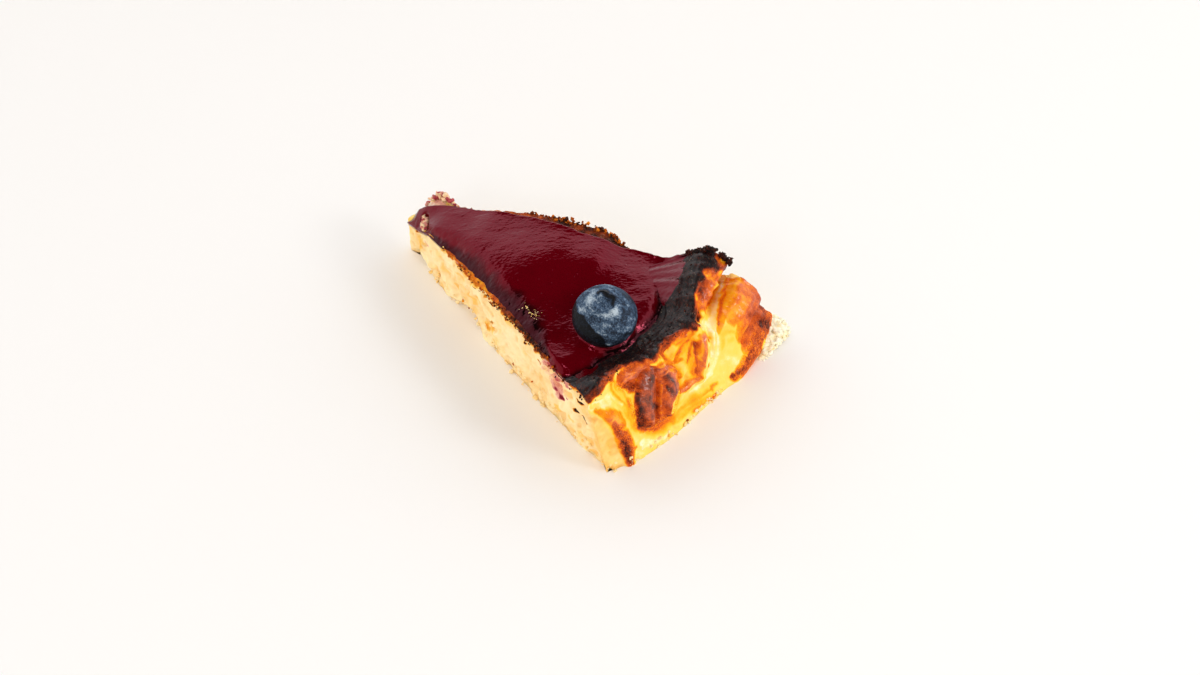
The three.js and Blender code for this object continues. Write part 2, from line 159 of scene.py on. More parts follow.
# The rolled fold of crust at the far corner: radius and height from foot to rim
FAR_FOLD = (
    (123.6, 0), (123.8, 3), (122.8, 8.5), (121.2, 14), (119, 19.2), (114.8, 22.8), (111.4, 22.2),
    (106.4, 18.8), (107, 23), (109.8, 27.6), (107.6, 30.4), (104.8, 31.8),
)
FAR_FOLD_STARTS = 5.5
FAR_FOLD_FULL = 15

# Folds that the crumpled baking paper pressed into the crust. A spine runs through (angle, share of
# the wall's height, half width in mm); out is how far it stands out, left and right widen either
# side of it, and wrinkle is the depth of the fine lines along it. Creases are added to the folds:
# fine ridges on them, and grooves between them where out is below 0.
Fold = namedtuple("Fold", "spine out wrinkle left right", defaults=(0, 1, 1))
FOLDS = [Fold(*row) for row in (
    (((-16.2, 0.8, 1.2), (-14.6, 0.6, 2.6), (-13.8, 0.4, 3), (-13.5, 0.2, 3.2),
        (-13.9, 0.04, 2.4)), 1.5, 0.1),
    (((-12.4, 0.95, 1.6), (-12, 0.6, 2.4), (-11.6, 0.3, 2.4), (-12, 0.05, 2)), 0.6, 0.12),
    (((-11.2, 0.86, 2), (-9.3, 0.87, 2.9), (-6.8, 0.91, 2.3)), 2.1, 0.1),
    (((-5.2, 0.88, 3.4), (-5, 0.72, 6.6), (-5.4, 0.58, 7.6), (-6.8, 0.44, 6)), 1.9, 0.1),
    (((-6.4, 0.86, 1.8), (-7.7, 0.68, 2.8), (-8.8, 0.5, 3.5), (-9.4, 0.37, 3)), 3.3, 0.22),
    (((-4.2, 0.87, 2.4), (-3.3, 0.68, 4.2), (-4.1, 0.5, 4.2), (-5.8, 0.35, 2.6)), 3.3, 0.26),
    (((3.4, 0.88, 1.4), (0.6, 0.84, 2.2), (-2, 0.78, 1.8)), 1.1, 0.18),
    (((3.4, 0.86, 1.6), (1, 0.72, 3), (-0.8, 0.58, 2.2)), 1.2, 0.2),
    (((3.4, 0.84, 1.6), (1.9, 0.66, 3), (0.9, 0.47, 2.4)), 1.6, 0.2),
    (((4.9, 0.83, 2), (4.5, 0.69, 2.8), (3.2, 0.53, 2.7), (2.2, 0.4, 1.5)), 3.1, 0.12, 1, 2),
    (((-2.2, 0.4, 1.1), (-0.4, 0.385, 1.5), (1.2, 0.4, 1.3)), 1.3, 0.05),
    (((-4.5, 0.13, 2.2), (0.5, 0.16, 3.4), (5, 0.13, 2.4)), 1, 0.1),
    (((7.8, 0.05, 1.6), (12.5, 0.11, 2.6), (17.8, 0.14, 3)), 1, 0.1),
    (((7, 0.8, 1.6), (9.5, 0.84, 2.4), (12.5, 0.82, 2.2)), 0.8, 0.15),
    (((15.6, 0.25, 0.8), (17.8, 0.19, 1.9)), 2, 0.1),
)]
CREASES = [Fold(*row) for row in (
    (((-10, 0.7, 0.7), (-8.6, 0.79, 1), (-7, 0.89, 0.8)), -0.8),
    (((-6, 0.74, 0.6), (-6.7, 0.58, 1), (-7.4, 0.42, 1.1), (-7.8, 0.32, 0.9)), -1),
    (((-5.6, 0.71, 0.5), (-6.5, 0.55, 0.6), (-7.2, 0.38, 0.5)), 0.5),
    (((-5.5, 0.34, 1.2), (-4.7, 0.41, 1.8), (-3.5, 0.455, 1.4)), -1.3),
    (((4.9, 0.72, 0.9), (4.7, 0.64, 1.5), (3.7, 0.53, 1.5), (2.5, 0.41, 1.2)), -0.8),
    (((-5, 0.79, 0.45), (-4, 0.795, 0.5), (-2.6, 0.7, 0.5), (-1.4, 0.66, 0.45)), 0.45),
    (((-5, 0.89, 0.4), (-3.9, 0.87, 0.45), (-2.7, 0.78, 0.45), (-1.9, 0.72, 0.4)), 0.4),
    (((-5.6, 0.7, 0.4), (-4.4, 0.69, 0.5), (-3.2, 0.61, 0.5), (-2.5, 0.51, 0.45)), 0.35),
    (((-11, 0.9, 0.4), (-9.4, 0.92, 0.5), (-7.2, 0.93, 0.4)), 0.3),
    (((-11.2, 0.84, 0.4), (-9.8, 0.85, 0.5), (-8.2, 0.86, 0.4)), 0.3),
    (((-7.3, 0.78, 0.5), (-8.3, 0.64, 0.6), (-8.9, 0.54, 0.5)), 0.4),
    (((3.5, 0.86, 0.5), (2.7, 0.7, 0.8), (2, 0.52, 0.9), (1.6, 0.42, 0.7)), -0.9),
    (((3, 0.87, 0.3), (0.8, 0.79, 0.5), (-1.4, 0.7, 0.4)), 0.35),
    (((3.2, 0.84, 0.3), (1.3, 0.68, 0.5), (-0.1, 0.54, 0.4)), 0.35),
    (((3.9, 0.78, 0.3), (3.4, 0.66, 0.5), (2.5, 0.5, 0.4)), 0.3),
    (((11, 0.25, 0.8), (14.5, 0.26, 1.3), (17.8, 0.24, 1.6)), -1.2),
    (((6.6, 0.88, 0.8), (7.8, 0.66, 1.4), (6, 0.46, 1.2)), -0.8),
    (((7.4, 0.82, 0.8), (9, 0.7, 1.1), (10.8, 0.58, 0.9)), 0.4),
    (((10.4, 0.84, 0.8), (12, 0.74, 1), (13.6, 0.62, 0.9)), 0.45),
    (((13, 0.82, 0.7), (14.6, 0.74, 0.9), (16.6, 0.64, 0.9)), 0.35),
    (((10, 0.47, 0.8), (14, 0.44, 1.1), (17.8, 0.46, 1.2)), 0.4),
    (((11, 0.38, 0.6), (14.5, 0.36, 0.9), (17.8, 0.37, 1)), 0.35),
    (((12, 0.31, 0.6), (15, 0.3, 0.8), (17.8, 0.31, 0.9)), 0.35),
)]

# The crust's wall laid flat, in millimetres, and the shares of a fold's height that go out and up
CRUST_RADIUS = 119.4
WALL_HEIGHT = 27.0
WALL_SLANT = 29.0
FOLDS_OUT = 0.94
FOLDS_UP = 0.34

# Crumb that the knife smeared over the top of the far cut, by the point
Smear = namedtuple("Smear", "radius spread out starts full")
SMEAR = Smear(13.5, 4.2, 4.4, 0.45, 0.8)

# Knife drag and curds on the cuts
CURD_RELIEF = 0.45
CURD_PITCH = 6.2

# How the crust was baked: 0 is pale, 0.5 golden, 0.75 brown and 1 charred. Black and pale edges of
# the rim are shares of the wall's height, and run on over the rim above 1.
BLACK_EDGE = curve(
    (-17.8, 1.08), (-15, 1.09), (-12, 1.1), (-10, 1.08), (-8.3, 1.04), (-7.1, 0.99), (-5.5, 1.01),
    (-2.4, 1.01), (-1.2, 1.04), (0.3, 1.05), (1.7, 1.04), (2.9, 1.02), (3.6, 0.99), (4.8, 0.99), (6, 1),
    (8.3, 0.985), (10.7, 0.97), (11.8, 0.935), (13.3, 0.985), (14.4, 0.94), (15.3, 0.89), (16.4, 0.93),
    (17.8, 0.95),
)
PALE_EDGE = curve(
    (-17.8, 0.96), (-15, 0.98), (-11.5, 0.98), (-6.3, 0.975), (-4.5, 0.985), (-3.4, 0.93), (-2.4, 0.86),
    (-1.2, 0.87), (0.3, 0.905), (2.2, 0.935), (3.2, 0.92), (3.9, 0.9), (4.6, 0.95), (5.3, 0.9), (6, 0.87),
    (6.8, 0.84), (7.4, 0.86), (8.3, 0.88), (10.7, 0.875), (13, 0.87), (15.4, 0.86), (17.8, 0.87),
)
BAND_TONE_LOW = curve(
    (-17.8, 0.66), (-3, 0.66), (0, 0.6), (2.6, 0.56), (4, 0.72), (6, 0.78), (6.8, 0.84), (7.4, 0.56),
    (8.4, 0.58), (9.9, 0.68), (11, 0.56), (13, 0.5), (14.5, 0.66), (15.4, 0.8), (16.5, 0.42), (17.8, 0.36),
)
BAND_TONE_HIGH = curve(
    (-17.8, 0.84), (0, 0.86), (3, 0.88), (6.5, 0.88), (7.6, 0.64), (8.6, 0.54), (9.6, 0.72), (10.6, 0.58),
    (11.8, 0.84), (13, 0.54), (14.2, 0.84), (15.4, 0.86), (16.6, 0.56), (17.8, 0.5),
)

# Patches of the crust's tone, painted in this order: a spine as for a fold, the tone, and the share
# of the width over which the edge fades
Scorch = namedtuple("Scorch", "spine tone soft")
SCORCHES = [Scorch(*row) for row in (
    (((-16.8, 0.9, 3), (-14.4, 0.8, 2.6)), 0.05, 0.8),
    (((-12.9, 0.92, 2.2), (-12, 0.7, 3), (-11.2, 0.5, 3.4), (-11.6, 0.34, 2.4)), 0.31, 0.9),
    (((-11.2, 0.64, 1.4), (-11.5, 0.46, 1.8), (-11.6, 0.34, 1.2)), 0.42, 0.9),
    (((-13.6, 0.84, 0.8), (-12.6, 0.66, 0.7)), 0.08, 0.9),
    (((-11, 0.13, 2.4), (-7.5, 0.11, 2.6)), 0.05, 0.8),
    (((-2.4, 0.84, 2.4), (0, 0.82, 3.4), (2.2, 0.84, 2.4), (1, 0.66, 4.4), (0.6, 0.52, 3.2)), 0.27, 0.7),
    (((-0.7, 0.76, 0.9), (-0.2, 0.62, 1.4), (0.3, 0.5, 1)), 0.13, 0.9),
    (((0.2, 0.91, 1.2), (2.2, 0.9, 2.6), (3.4, 0.86, 1.8)), 0.44, 0.8),
    (((3.2, 0.82, 1.5), (1.9, 0.68, 2.3), (1.1, 0.5, 1.9)), 0.39, 0.9),
    (((6, 0.84, 1.3), (7.6, 0.68, 1.8), (8.6, 0.55, 2), (6.4, 0.42, 2.6), (4, 0.31, 2.2), (0, 0.29, 1.8),
        (-4, 0.26, 1.2)), 0.06, 0.9),
    (((-6, 0.2, 2), (-3, 0.2, 3.2), (0, 0.17, 3.4), (2.8, 0.14, 2.4)), 0.29, 0.8),
    (((-1.4, 0.1, 1.5), (0.4, 0.08, 1.7)), 0.37, 0.9),
    (((3.2, 0.185, 1.1), (4.2, 0.17, 0.9)), 0.4, 0.9),
    (((0.6, 0.1, 1.4), (1.8, 0.09, 1.6)), 0.38, 1),
    (((2.4, 0.05, 0.9), (3.6, 0.05, 1)), 0.5, 1),
    (((-2.6, 0.85, 0.9), (-1.2, 0.86, 1.1), (0, 0.87, 0.8)), 0.17, 0.9),
    (((3.1, 0.9, 1.1), (1.6, 0.85, 1.5), (0.4, 0.79, 1.2), (-0.4, 0.74, 0.7)), 0.42, 0.9),
    (((2.8, 0.87, 0.35), (1, 0.82, 0.45), (-0.8, 0.755, 0.35)), 0.56, 0.9),
    (((3, 0.83, 0.35), (1.6, 0.74, 0.45), (0.6, 0.64, 0.35)), 0.52, 0.9),
    (((-0.5, 0.67, 0.9), (-0.3, 0.57, 1.2), (-0.4, 0.48, 0.8)), 0.12, 0.9),
    (((-11.1, 0.875, 1.9), (-9.3, 0.875, 3.2), (-6.6, 0.93, 1.9)), 0.575, 0.3),
    (((-10.9, 0.81, 1), (-9.9, 0.755, 2), (-8.9, 0.74, 1.5)), 0.77, 0.8),
    (((-8.6, 0.86, 1), (-7, 0.9, 0.9)), 0.66, 0.9),
    (((-5.2, 0.88, 4), (-5.1, 0.74, 7.2), (-5.5, 0.58, 8.8), (-7.2, 0.41, 7.4),
        (-7.8, 0.31, 4.6)), 0.61, 0.32),
    (((-3.6, 0.8, 1.4), (-2.5, 0.66, 2.6), (-2.1, 0.54, 2.4)), 0.53, 0.8),
    (((-1.3, 0.66, 0.6), (-1, 0.58, 0.8), (-1.5, 0.49, 0.7)), 0.42, 0.9),
    (((-6.7, 0.83, 1.7), (-8, 0.68, 2.6), (-9.1, 0.5, 3.2), (-9.7, 0.34, 3.1)), 0.76, 0.85),
    (((-9.3, 0.67, 0.8), (-10.2, 0.5, 1.2), (-10.9, 0.34, 1.3)), 0.9, 0.9),
    (((-7.8, 0.68, 1.1), (-6.9, 0.71, 1.2)), 0.68, 0.9),
    (((-8.4, 0.53, 1.1), (-7.4, 0.45, 1.4)), 0.86, 0.9),
    (((-9.4, 0.37, 1.3), (-8.4, 0.34, 1.8), (-7.7, 0.28, 1.3)), 0.63, 0.9),
    (((-10.6, 0.3, 0.8), (-9.4, 0.25, 0.9), (-7.9, 0.22, 0.8)), 0.7, 0.9),
    (((-5.6, 0.75, 1), (-6.1, 0.57, 1.4), (-6.3, 0.41, 1.6), (-5.9, 0.28, 1.2)), 0.67, 0.7),
    (((-4.6, 0.78, 1.5), (-4.2, 0.63, 2.1), (-4.4, 0.53, 1.9)), 0.79, 0.8),
    (((-5, 0.65, 0.7), (-4.7, 0.56, 0.9)), 0.89, 0.9),
    (((-6.5, 0.85, 1), (-5.4, 0.88, 1)), 0.74, 0.9),
    (((-5.7, 0.7, 0.4), (-6.6, 0.54, 0.5), (-7.3, 0.36, 0.5)), 0.5, 0.9),
    (((-7.2, 0.3, 0.8), (-6.4, 0.245, 0.9), (-5.5, 0.235, 0.7)), 0.43, 0.9),
    (((-5.5, 0.34, 1.3), (-4.7, 0.41, 1.8), (-3.7, 0.45, 1.6), (-3, 0.45, 0.9)), 0.22, 0.35),
    (((-3.7, 0.465, 0.9), (-2.9, 0.44, 0.8)), 0.38, 0.9),
    (((-5.8, 0.28, 0.45), (-4.6, 0.31, 0.6), (-3.2, 0.38, 0.5), (-2.7, 0.41, 0.4)), 0.68, 0.8),
    (((-5, 0.79, 0.35), (-3.9, 0.8, 0.4), (-2.6, 0.73, 0.4), (-1.3, 0.66, 0.35)), 0.41, 0.9),
    (((-5, 0.9, 0.35), (-4, 0.9, 0.4), (-2.8, 0.82, 0.4), (-1.7, 0.73, 0.35)), 0.39, 0.9),
    (((-5.9, 0.945, 0.5), (-4.7, 0.96, 0.7), (-3.6, 0.92, 0.8), (-2.7, 0.865, 0.8)), 0.2, 0.7),
    (((-2.3, 0.8, 0.7), (-1.2, 0.75, 0.8), (0.1, 0.71, 0.7)), 0.47, 0.9),
    (((-9.2, 0.25, 1.2), (-7.8, 0.23, 1.5), (-6.6, 0.27, 1.1)), 0.58, 0.9),
    (((-2.2, 0.41, 1), (-0.6, 0.39, 1.5), (1, 0.41, 1.2)), 0.52, 0.5),
    (((1.5, 0.54, 0.5), (1.4, 0.46, 0.8), (1.7, 0.4, 0.5)), 0.62, 0.9),
    (((4.4, 0.85, 1.6), (3.6, 0.74, 2.2), (2.7, 0.6, 2.2), (2, 0.47, 1.4)), 0.43, 0.5),
    (((4.2, 0.83, 0.9), (3.8, 0.74, 1.5), (2.8, 0.59, 1.6), (1.7, 0.43, 1)), 0.52, 0.8),
    (((3.3, 0.8, 0.4), (2.6, 0.7, 0.5), (1.8, 0.58, 0.5), (1.3, 0.5, 0.35)), 0.66, 0.9),
    (((5, 0.8, 0.9), (5.9, 0.7, 1.2), (6, 0.62, 1.1), (5, 0.5, 0.8), (3.6, 0.405, 1),
        (2.2, 0.33, 1)), 0.47, 0.6),
    (((5.6, 0.8, 0.5), (6.4, 0.7, 0.8), (6.9, 0.61, 0.8), (7.1, 0.57, 0.4)), 0.38, 0.9),
    (((4.9, 0.72, 0.9), (4.8, 0.65, 1.8), (3.8, 0.54, 1.8), (2.6, 0.42, 1.6), (2.2, 0.39, 1)), 0.13, 0.4),
    # Painted highlight: a paler line along the fold, where light glints on it
    (((3.9, 0.8, 0.4), (3.1, 0.7, 0.5), (2.5, 0.6, 0.4)), 0.35, 0.9),
    # Painted shadow: a darker line beside the flap's sharp edge
    (((5.2, 0.74, 0.4), (5.7, 0.66, 0.5), (5.2, 0.56, 0.4), (4.4, 0.465, 0.35)), 0.58, 0.9),
    (((3.6, 0.85, 1.2), (4.4, 0.89, 1.6), (4.95, 0.945, 0.9)), 0.2, 0.7),
    (((4, 0.83, 0.7), (4.6, 0.8, 0.7)), 0.48, 0.9),
    (((5.3, 0.88, 1), (6.4, 0.8, 1.3), (7.8, 0.69, 1.5), (9.2, 0.6, 1.6), (11.2, 0.565, 1.4),
        (14.5, 0.585, 1), (17.8, 0.61, 0.9)), 0.05, 0.7),
    (((7.2, 0.83, 1), (8.6, 0.745, 1.4), (10, 0.675, 1.3), (11.3, 0.625, 0.9)), 0.23, 0.9),
    (((8, 0.88, 1), (9.6, 0.81, 2), (11.2, 0.74, 2.6), (12.8, 0.7, 2.6), (15, 0.71, 2.6),
        (17.8, 0.73, 2.8)), 0.55, 0.4),
    (((9, 0.88, 1.6), (12.5, 0.84, 2), (15.5, 0.85, 2), (17.8, 0.8, 1.8)), 0.52, 0.8),
    (((9.4, 0.8, 0.5), (10.2, 0.71, 0.6), (11.4, 0.655, 0.6), (12.4, 0.62, 0.4)), 0.57, 0.9),
    (((9.8, 0.86, 0.7), (11, 0.78, 0.8), (12.4, 0.73, 0.6)), 0.6, 0.9),
    (((11.6, 0.765, 0.5), (12.8, 0.715, 0.8), (13.8, 0.67, 0.9), (14.1, 0.63, 0.5)), 0.71, 0.9),
    (((13, 0.775, 0.5), (14.2, 0.72, 0.7), (15.4, 0.665, 0.7)), 0.63, 0.9),
    (((12, 0.815, 0.7), (12.9, 0.815, 1.1), (13.9, 0.785, 0.6)), 0.26, 0.9),
    (((14.3, 0.855, 0.7), (15.4, 0.84, 1.1)), 0.3, 0.9),
    (((14.2, 0.81, 0.4), (15.8, 0.785, 0.5), (17.8, 0.75, 0.5)), 0.29, 0.9),
    (((15.6, 0.865, 0.8), (16.6, 0.82, 1.3), (17.8, 0.79, 1.6)), 0.8, 0.8),
    (((8.8, 0.495, 0.9), (11, 0.5, 1.3), (14, 0.51, 1.4), (17.8, 0.535, 1.6)), 0.37, 0.35),
    (((9.7, 0.525, 0.4), (11, 0.52, 0.7), (14, 0.55, 0.5), (17.8, 0.575, 0.4)), 0.52, 0.9),
    (((8, 0.38, 1.2), (9.2, 0.42, 2.2), (10.4, 0.37, 2.4), (10.8, 0.26, 1.2)), 0.23, 1.2),
    (((11.2, 0.43, 1.2), (12.4, 0.4, 2.6), (15, 0.4, 3.2), (17.8, 0.42, 3.4)), 0.46, 0.9),
    (((11, 0.3, 1.6), (12.6, 0.3, 2.6), (15, 0.31, 3.4), (17.8, 0.32, 3.6)), 0.54, 0.9),
    (((13.2, 0.32, 0.9), (15, 0.28, 1.5), (17.8, 0.29, 1.8)), 0.66, 0.9),
    (((15.4, 0.355, 0.8), (17.8, 0.34, 1.4)), 0.62, 0.9),
    (((11.2, 0.22, 1.4), (13.4, 0.21, 2.4), (17.8, 0.19, 2.6)), 0.56, 0.7),
    (((7.3, 0.06, 0.9), (9, 0.07, 1.8), (12.2, 0.1, 3), (17.8, 0.12, 3.4)), 0.6, 1),
    (((7.2, 0.09, 0.5), (7.6, 0.095, 0.6)), 0.8, 0.9),
    (((8.2, 0.095, 0.5), (9.3, 0.105, 0.6)), 0.78, 0.9),
    (((10.4, 0.125, 0.6), (10.8, 0.13, 0.5)), 0.84, 0.9),
    (((10.9, 0.15, 0.4), (11.9, 0.15, 0.5)), 0.78, 0.9),
    (((15.1, 0.2, 0.7), (15.8, 0.2, 1.4), (16.8, 0.16, 0.9)), 0.88, 0.7),
    (((15.8, 0.23, 0.5), (17.8, 0.245, 0.6)), 0.76, 0.9),
    (((14, 0.085, 0.8), (15.6, 0.085, 1.3), (17.4, 0.07, 1)), 0.1, 0.9),
    (((-16.5, 0.79, 0.9), (-15.2, 0.68, 1.8), (-14.1, 0.56, 2.2), (-13.5, 0.49, 1.6)), 0.46, 0.5),
    # Painted highlight: a lighter patch where the fold by the near corner catches the light
    (((-15, 0.62, 0.6), (-14.2, 0.58, 1.4), (-13.4, 0.54, 0.9)), 0.36, 0.9),
    (((-15, 0.58, 0.8), (-14.5, 0.46, 1.5), (-14, 0.36, 2.4), (-13.9, 0.22, 2.4),
        (-14.2, 0.05, 1.6)), 0.62, 0.5),
    (((-14.4, 0.3, 1), (-14, 0.18, 1.7), (-14.2, 0.06, 1.1)), 0.83, 0.8),
    (((-13.2, 0.17, 0.7), (-12.5, 0.15, 0.5)), 0.46, 0.8),
)]

# Tones of the bare ground and of the halo round dark patches, streaks along wide ones, the palest tone
CRUST_TONE = 0.11
HALOED_ABOVE = 0.45
HALO_TONE = 0.36
HALO_SPREAD = 0.4
STREAKED_FROM = 1.6
STREAK = 0.12
PALEST_CRUST = 0.05

# Strokes of the crust that are speckled brown, and those that are glossy
FRECKLED = (
    ((-10.9, 0.6, 1.4), (-10.6, 0.38, 2.2), (-9, 0.26, 2.4), (-6.2, 0.28, 2.4), (-3.4, 0.42, 2),
        (-1.8, 0.56, 1.6)),
    ((-14.4, 0.5, 1.8), (-13.8, 0.3, 3), (-13.9, 0.06, 2.6)),
    ((7.6, 0.07, 2), (12, 0.13, 3.2), (17.8, 0.16, 4)),
    ((-11.7, 0.83, 1.6), (-10.3, 0.76, 2.2), (-9.2, 0.72, 1.8)),
)
GLOSSY = (
    ((-6.3, 0.87, 1.4), (-7.7, 0.74, 2), (-8.8, 0.58, 2.4), (-9, 0.46, 2.6), (-8.8, 0.38, 2)),
    ((-4.6, 0.86, 2), (-3.4, 0.76, 3), (-3.4, 0.6, 3.6), (-5.2, 0.46, 2.4)),
    ((4.6, 0.8, 1.8), (3.6, 0.64, 2.2), (2.4, 0.46, 1.8)),
    ((-15.2, 0.66, 1.4), (-14.2, 0.54, 1.6)),
    ((-2, 0.4, 1), (1, 0.4, 1.4)),
    ((-10.6, 0.88, 1.6), (-7.4, 0.92, 1.8)),
)
FAINTLY_GLOSSY = (
    ((10, 0.46, 2.4), (14, 0.42, 5), (17.8, 0.42, 6)),
    ((9, 0.84, 2), (13, 0.78, 3), (17.8, 0.76, 3)),
)
FAINT_GLOSS = 0.4

# Where the near cut wraps round the corner of the crust: the angle at which it ends, by share
CUT_CORNER = curve((0, -14.6), (0.1, -14.8), (0.45, -15.6), (0.72, -16.7), (0.86, -18.1), (1, -19))

# The burnt skin seen on the cuts, by radius: its thickness, and its tone on the near and the far cut
SKIN_DEPTH = curve(
    (0, 0.5), (20, 0.6), (24, 0.9), (27, 2.4), (31, 1.2), (36, 2.2), (40, 4.4), (44, 3.2), (48, 1.5),
    (53, 1.9), (58, 1.2), (63, 1.6), (72, 2.2), (80, 2.2), (84, 1), (90, 1.4), (98, 1), (103, 2.6),
    (108, 1.6),
)
SKIN_TONE = curve(
    (0, 0.14), (12, 0.2), (20, 0.34), (27, 0.52), (40, 0.54), (48, 0.46), (58, 0.6), (66, 0.82), (80, 0.9),
    (86, 0.7), (96, 0.62), (103, 0.5), (108, 0.9),
)
FAR_SKIN_TONE = curve(
    (0, 0.04), (17, 0.06), (22, 0.6), (30, 0.52), (36, 0.62), (44, 0.7), (52, 0.82), (70, 0.86), (80, 0.9),
    (95, 1),
)

# Spots on the near cut: radius and height of the middle, half length, half height, strength. Berry
# juice first, then yellow blotches and dark crumbs, whose strength is a tone.
Spot = namedtuple("Spot", "radius height long high strength")
STAINS = [Spot(*row) for row in (
    (89, 16.6, 8.5, 3.4, 0.34), (90.5, 14.2, 4.6, 3.2, 0.42), (91.5, 19.6, 3.2, 1.2, 0.6),
    (88, 21.2, 3.8, 1.6, 0.7), (84.5, 19.4, 2.6, 1.6, 0.45), (95, 21.4, 4, 1.3, 0.55),
    (94, 13.3, 1.6, 1.1, 1), (91, 14.4, 0.9, 0.8, 0.95), (96.4, 15.2, 0.7, 0.5, 0.9),
    (17.6, 13.2, 1.7, 0.8, 0.85), (16.5, 12.6, 2.8, 1.8, 0.3), (35.5, 20.4, 2.6, 0.7, 0.45),
    (12, 15.4, 3.4, 1.4, 0.5), (22, 18.6, 3, 1.2, 0.4),
)]
BLOTCHES = [Spot(*row) for row in (
    (12.5, 9.5, 2.4, 3.2, 0.3), (34, 7, 2.4, 1.3, 0.18), (43, 10.5, 3, 1.6, 0.22),
    (47, 12.6, 2.2, 1.2, 0.2), (51.5, 6.2, 2.2, 1.5, 0.42), (54.5, 7.4, 1.4, 0.9, 0.3),
    (64, 20, 2.4, 1.3, 0.25), (91, 5, 2, 0.9, 0.22), (106, 5.6, 3.6, 1.4, 0.16), (110, 8, 3.2, 0.8, 0.16),
    (109, 1.6, 3.4, 1.2, 0.22), (27, 10, 2.4, 1.6, 0.12), (37, 15.6, 2.4, 1.4, 0.14),
    (114.6, 2, 2, 1.6, 0.2), (99, 8, 2.2, 0.8, 0.16),
)]
DARK_CRUMBS = [Spot(*row) for row in (
    (53.6, 18, 1.4, 0.5, 0.97), (46.4, 19.6, 0.9, 0.5, 0.9), (11.4, 13.6, 0.9, 0.7, 0.8),
    (14.2, 13.4, 0.6, 0.5, 0.82), (55.4, 11.4, 0.6, 0.5, 0.72), (54.2, 10.4, 0.4, 0.4, 0.8),
    (103, 19.8, 1.8, 0.8, 0.98), (101.9, 13.3, 2, 0.9, 0.97), (104.8, 13.9, 1.5, 0.8, 0.95),
    (106, 13, 0.5, 0.4, 0.8), (91.8, 14.8, 1, 0.7, 0.9), (113.6, 12.4, 0.6, 0.5, 0.75),
    (81.5, 17.4, 1.4, 0.3, 0.7), (63, 19.8, 0.7, 0.5, 0.8), (94.5, 20.6, 1.2, 0.6, 0.95),
    (86, 14.6, 0.4, 0.4, 0.6), (68, 20.4, 0.9, 0.5, 0.85), (74, 19.2, 1, 0.6, 0.85),
)]

# The glaze: its thickness, the gap that the solids leave below it, how deep its skirt reaches into the
# cake, how far its surface drops outside its border, and its borders
GLAZE_THICKNESS = 1.7
GLAZE_GAP = 0.35
GLAZE_ROOT = 1.6
GLAZE_EDGE_DROP = 0.7
GLAZE_OUTER = curve(
    (-17.8, 94.6), (-15, 95.4), (-12, 96), (-9.8, 95.6), (-7.4, 96.4), (-5.4, 97.2), (-2.7, 97.4),
    (0, 97.4), (2.3, 97.8), (5.9, 96.8), (8.8, 95), (11, 95.2), (13.6, 95.8), (16.5, 96.6), (17.8, 97.8),
)
GLAZE_NEAR_INSET = curve(
    (0, 0.1), (25, 0.3), (35, 1.2), (60, 1.6), (80, 1.2), (90, 0.5), (95, 0.6), (110, 1.2),
)
GLAZE_FAR_INSET = curve(
    (0, 0.5), (34, 0.6), (45, 0.9), (55, 1.4), (62, 2.2), (71, 2.2), (75, 1.8), (80, 0.6), (110, 0.5),
)
GLAZE_POINT_RADIUS = 7.2
GLAZE_ROUNDED_NEAR = curve(
    (0, 2), (20, 2.6), (30, 6.5), (40, 8), (56, 8), (66, 6), (76, 4.6), (81, 2.4), (86, 1.6), (91, 1.8),
    (95, 3.6), (100, 3),
)
GLAZE_ROUNDED_FAR = 1.0
GLAZE_THIN_OUTER = curve((-17.8, 1.6), (0, 1.6), (5, 1.9), (10, 2.6), (17.8, 3))
GLAZE_ROUNDED_OUTER = curve((-17.8, 7), (-11, 6), (-5, 4), (17.8, 4))
GLAZE_LOBES = 0.15
THIN_WIDTH = curve(
    (0, 0), (20, 0.5), (26, 1.4), (34, 2.8), (45, 3.6), (56, 4.4), (64, 6), (72, 6.8), (78, 4.5), (83, 1.6),
    (87, 0.3), (96, 0.1),
)

# Ripples of the glaze: the direction across them in degrees, how much longer than wide they are, and
# the height, size and seed of each layer
WAVES_RUN = -47
WAVES_STRETCH = 2.1
RIPPLES = ((0.06, 8, 211), (0.042, 2.6, 213), (0.026, 1.2, 217))

# Shallow dips of the glaze: radius and angle of the middle, depth, and how far it spreads
Dip = namedtuple("Dip", "radius angle depth spread")
GLAZE_DIPS = (Dip(88, 17.0, 0.75, 5.0), Dip(83.5, -14.2, 0.5, 2.8))

# Where the crumb breaks through the glaze: radius and angle of both ends, and half the width
BARE_CHIP = ((15.4, -16.5), (11.9, -1.6))
BARE_CHIP_WIDTH = 0.75

# The lip of glaze that climbs the berry: its height, where it starts and how fast it fades
LIP_HEIGHT = 0.8
LIP_RADIUS = 8.2
LIP_FADE = 0.55

# The blueberry
Berry = namedtuple("Berry", "r a half_width half_height middle lean_x lean_y")
BERRY = Berry(89.1, -4.5, 9.8, 8.3, 7.05, 7, -8.5)
Crown = namedtuple("Crown", "radius width height hollow points pointed")
CROWN = Crown(3.5, 0.6, 0.45, 1.0, 5, 0.1)
RUBBED_SIDE = np.array([-0.34, -0.86, -0.36])
# The side towards the window, where the bloom is painted paler: painted light
PAINTED_LIT_SIDE = np.array([-0.5, -0.4, 0.77])

# Where the rings of the surfaces meet, and how far the cake's top is sunk under the glaze
MIDDLE_RADIUS = 62.0
SUNK = 0.4

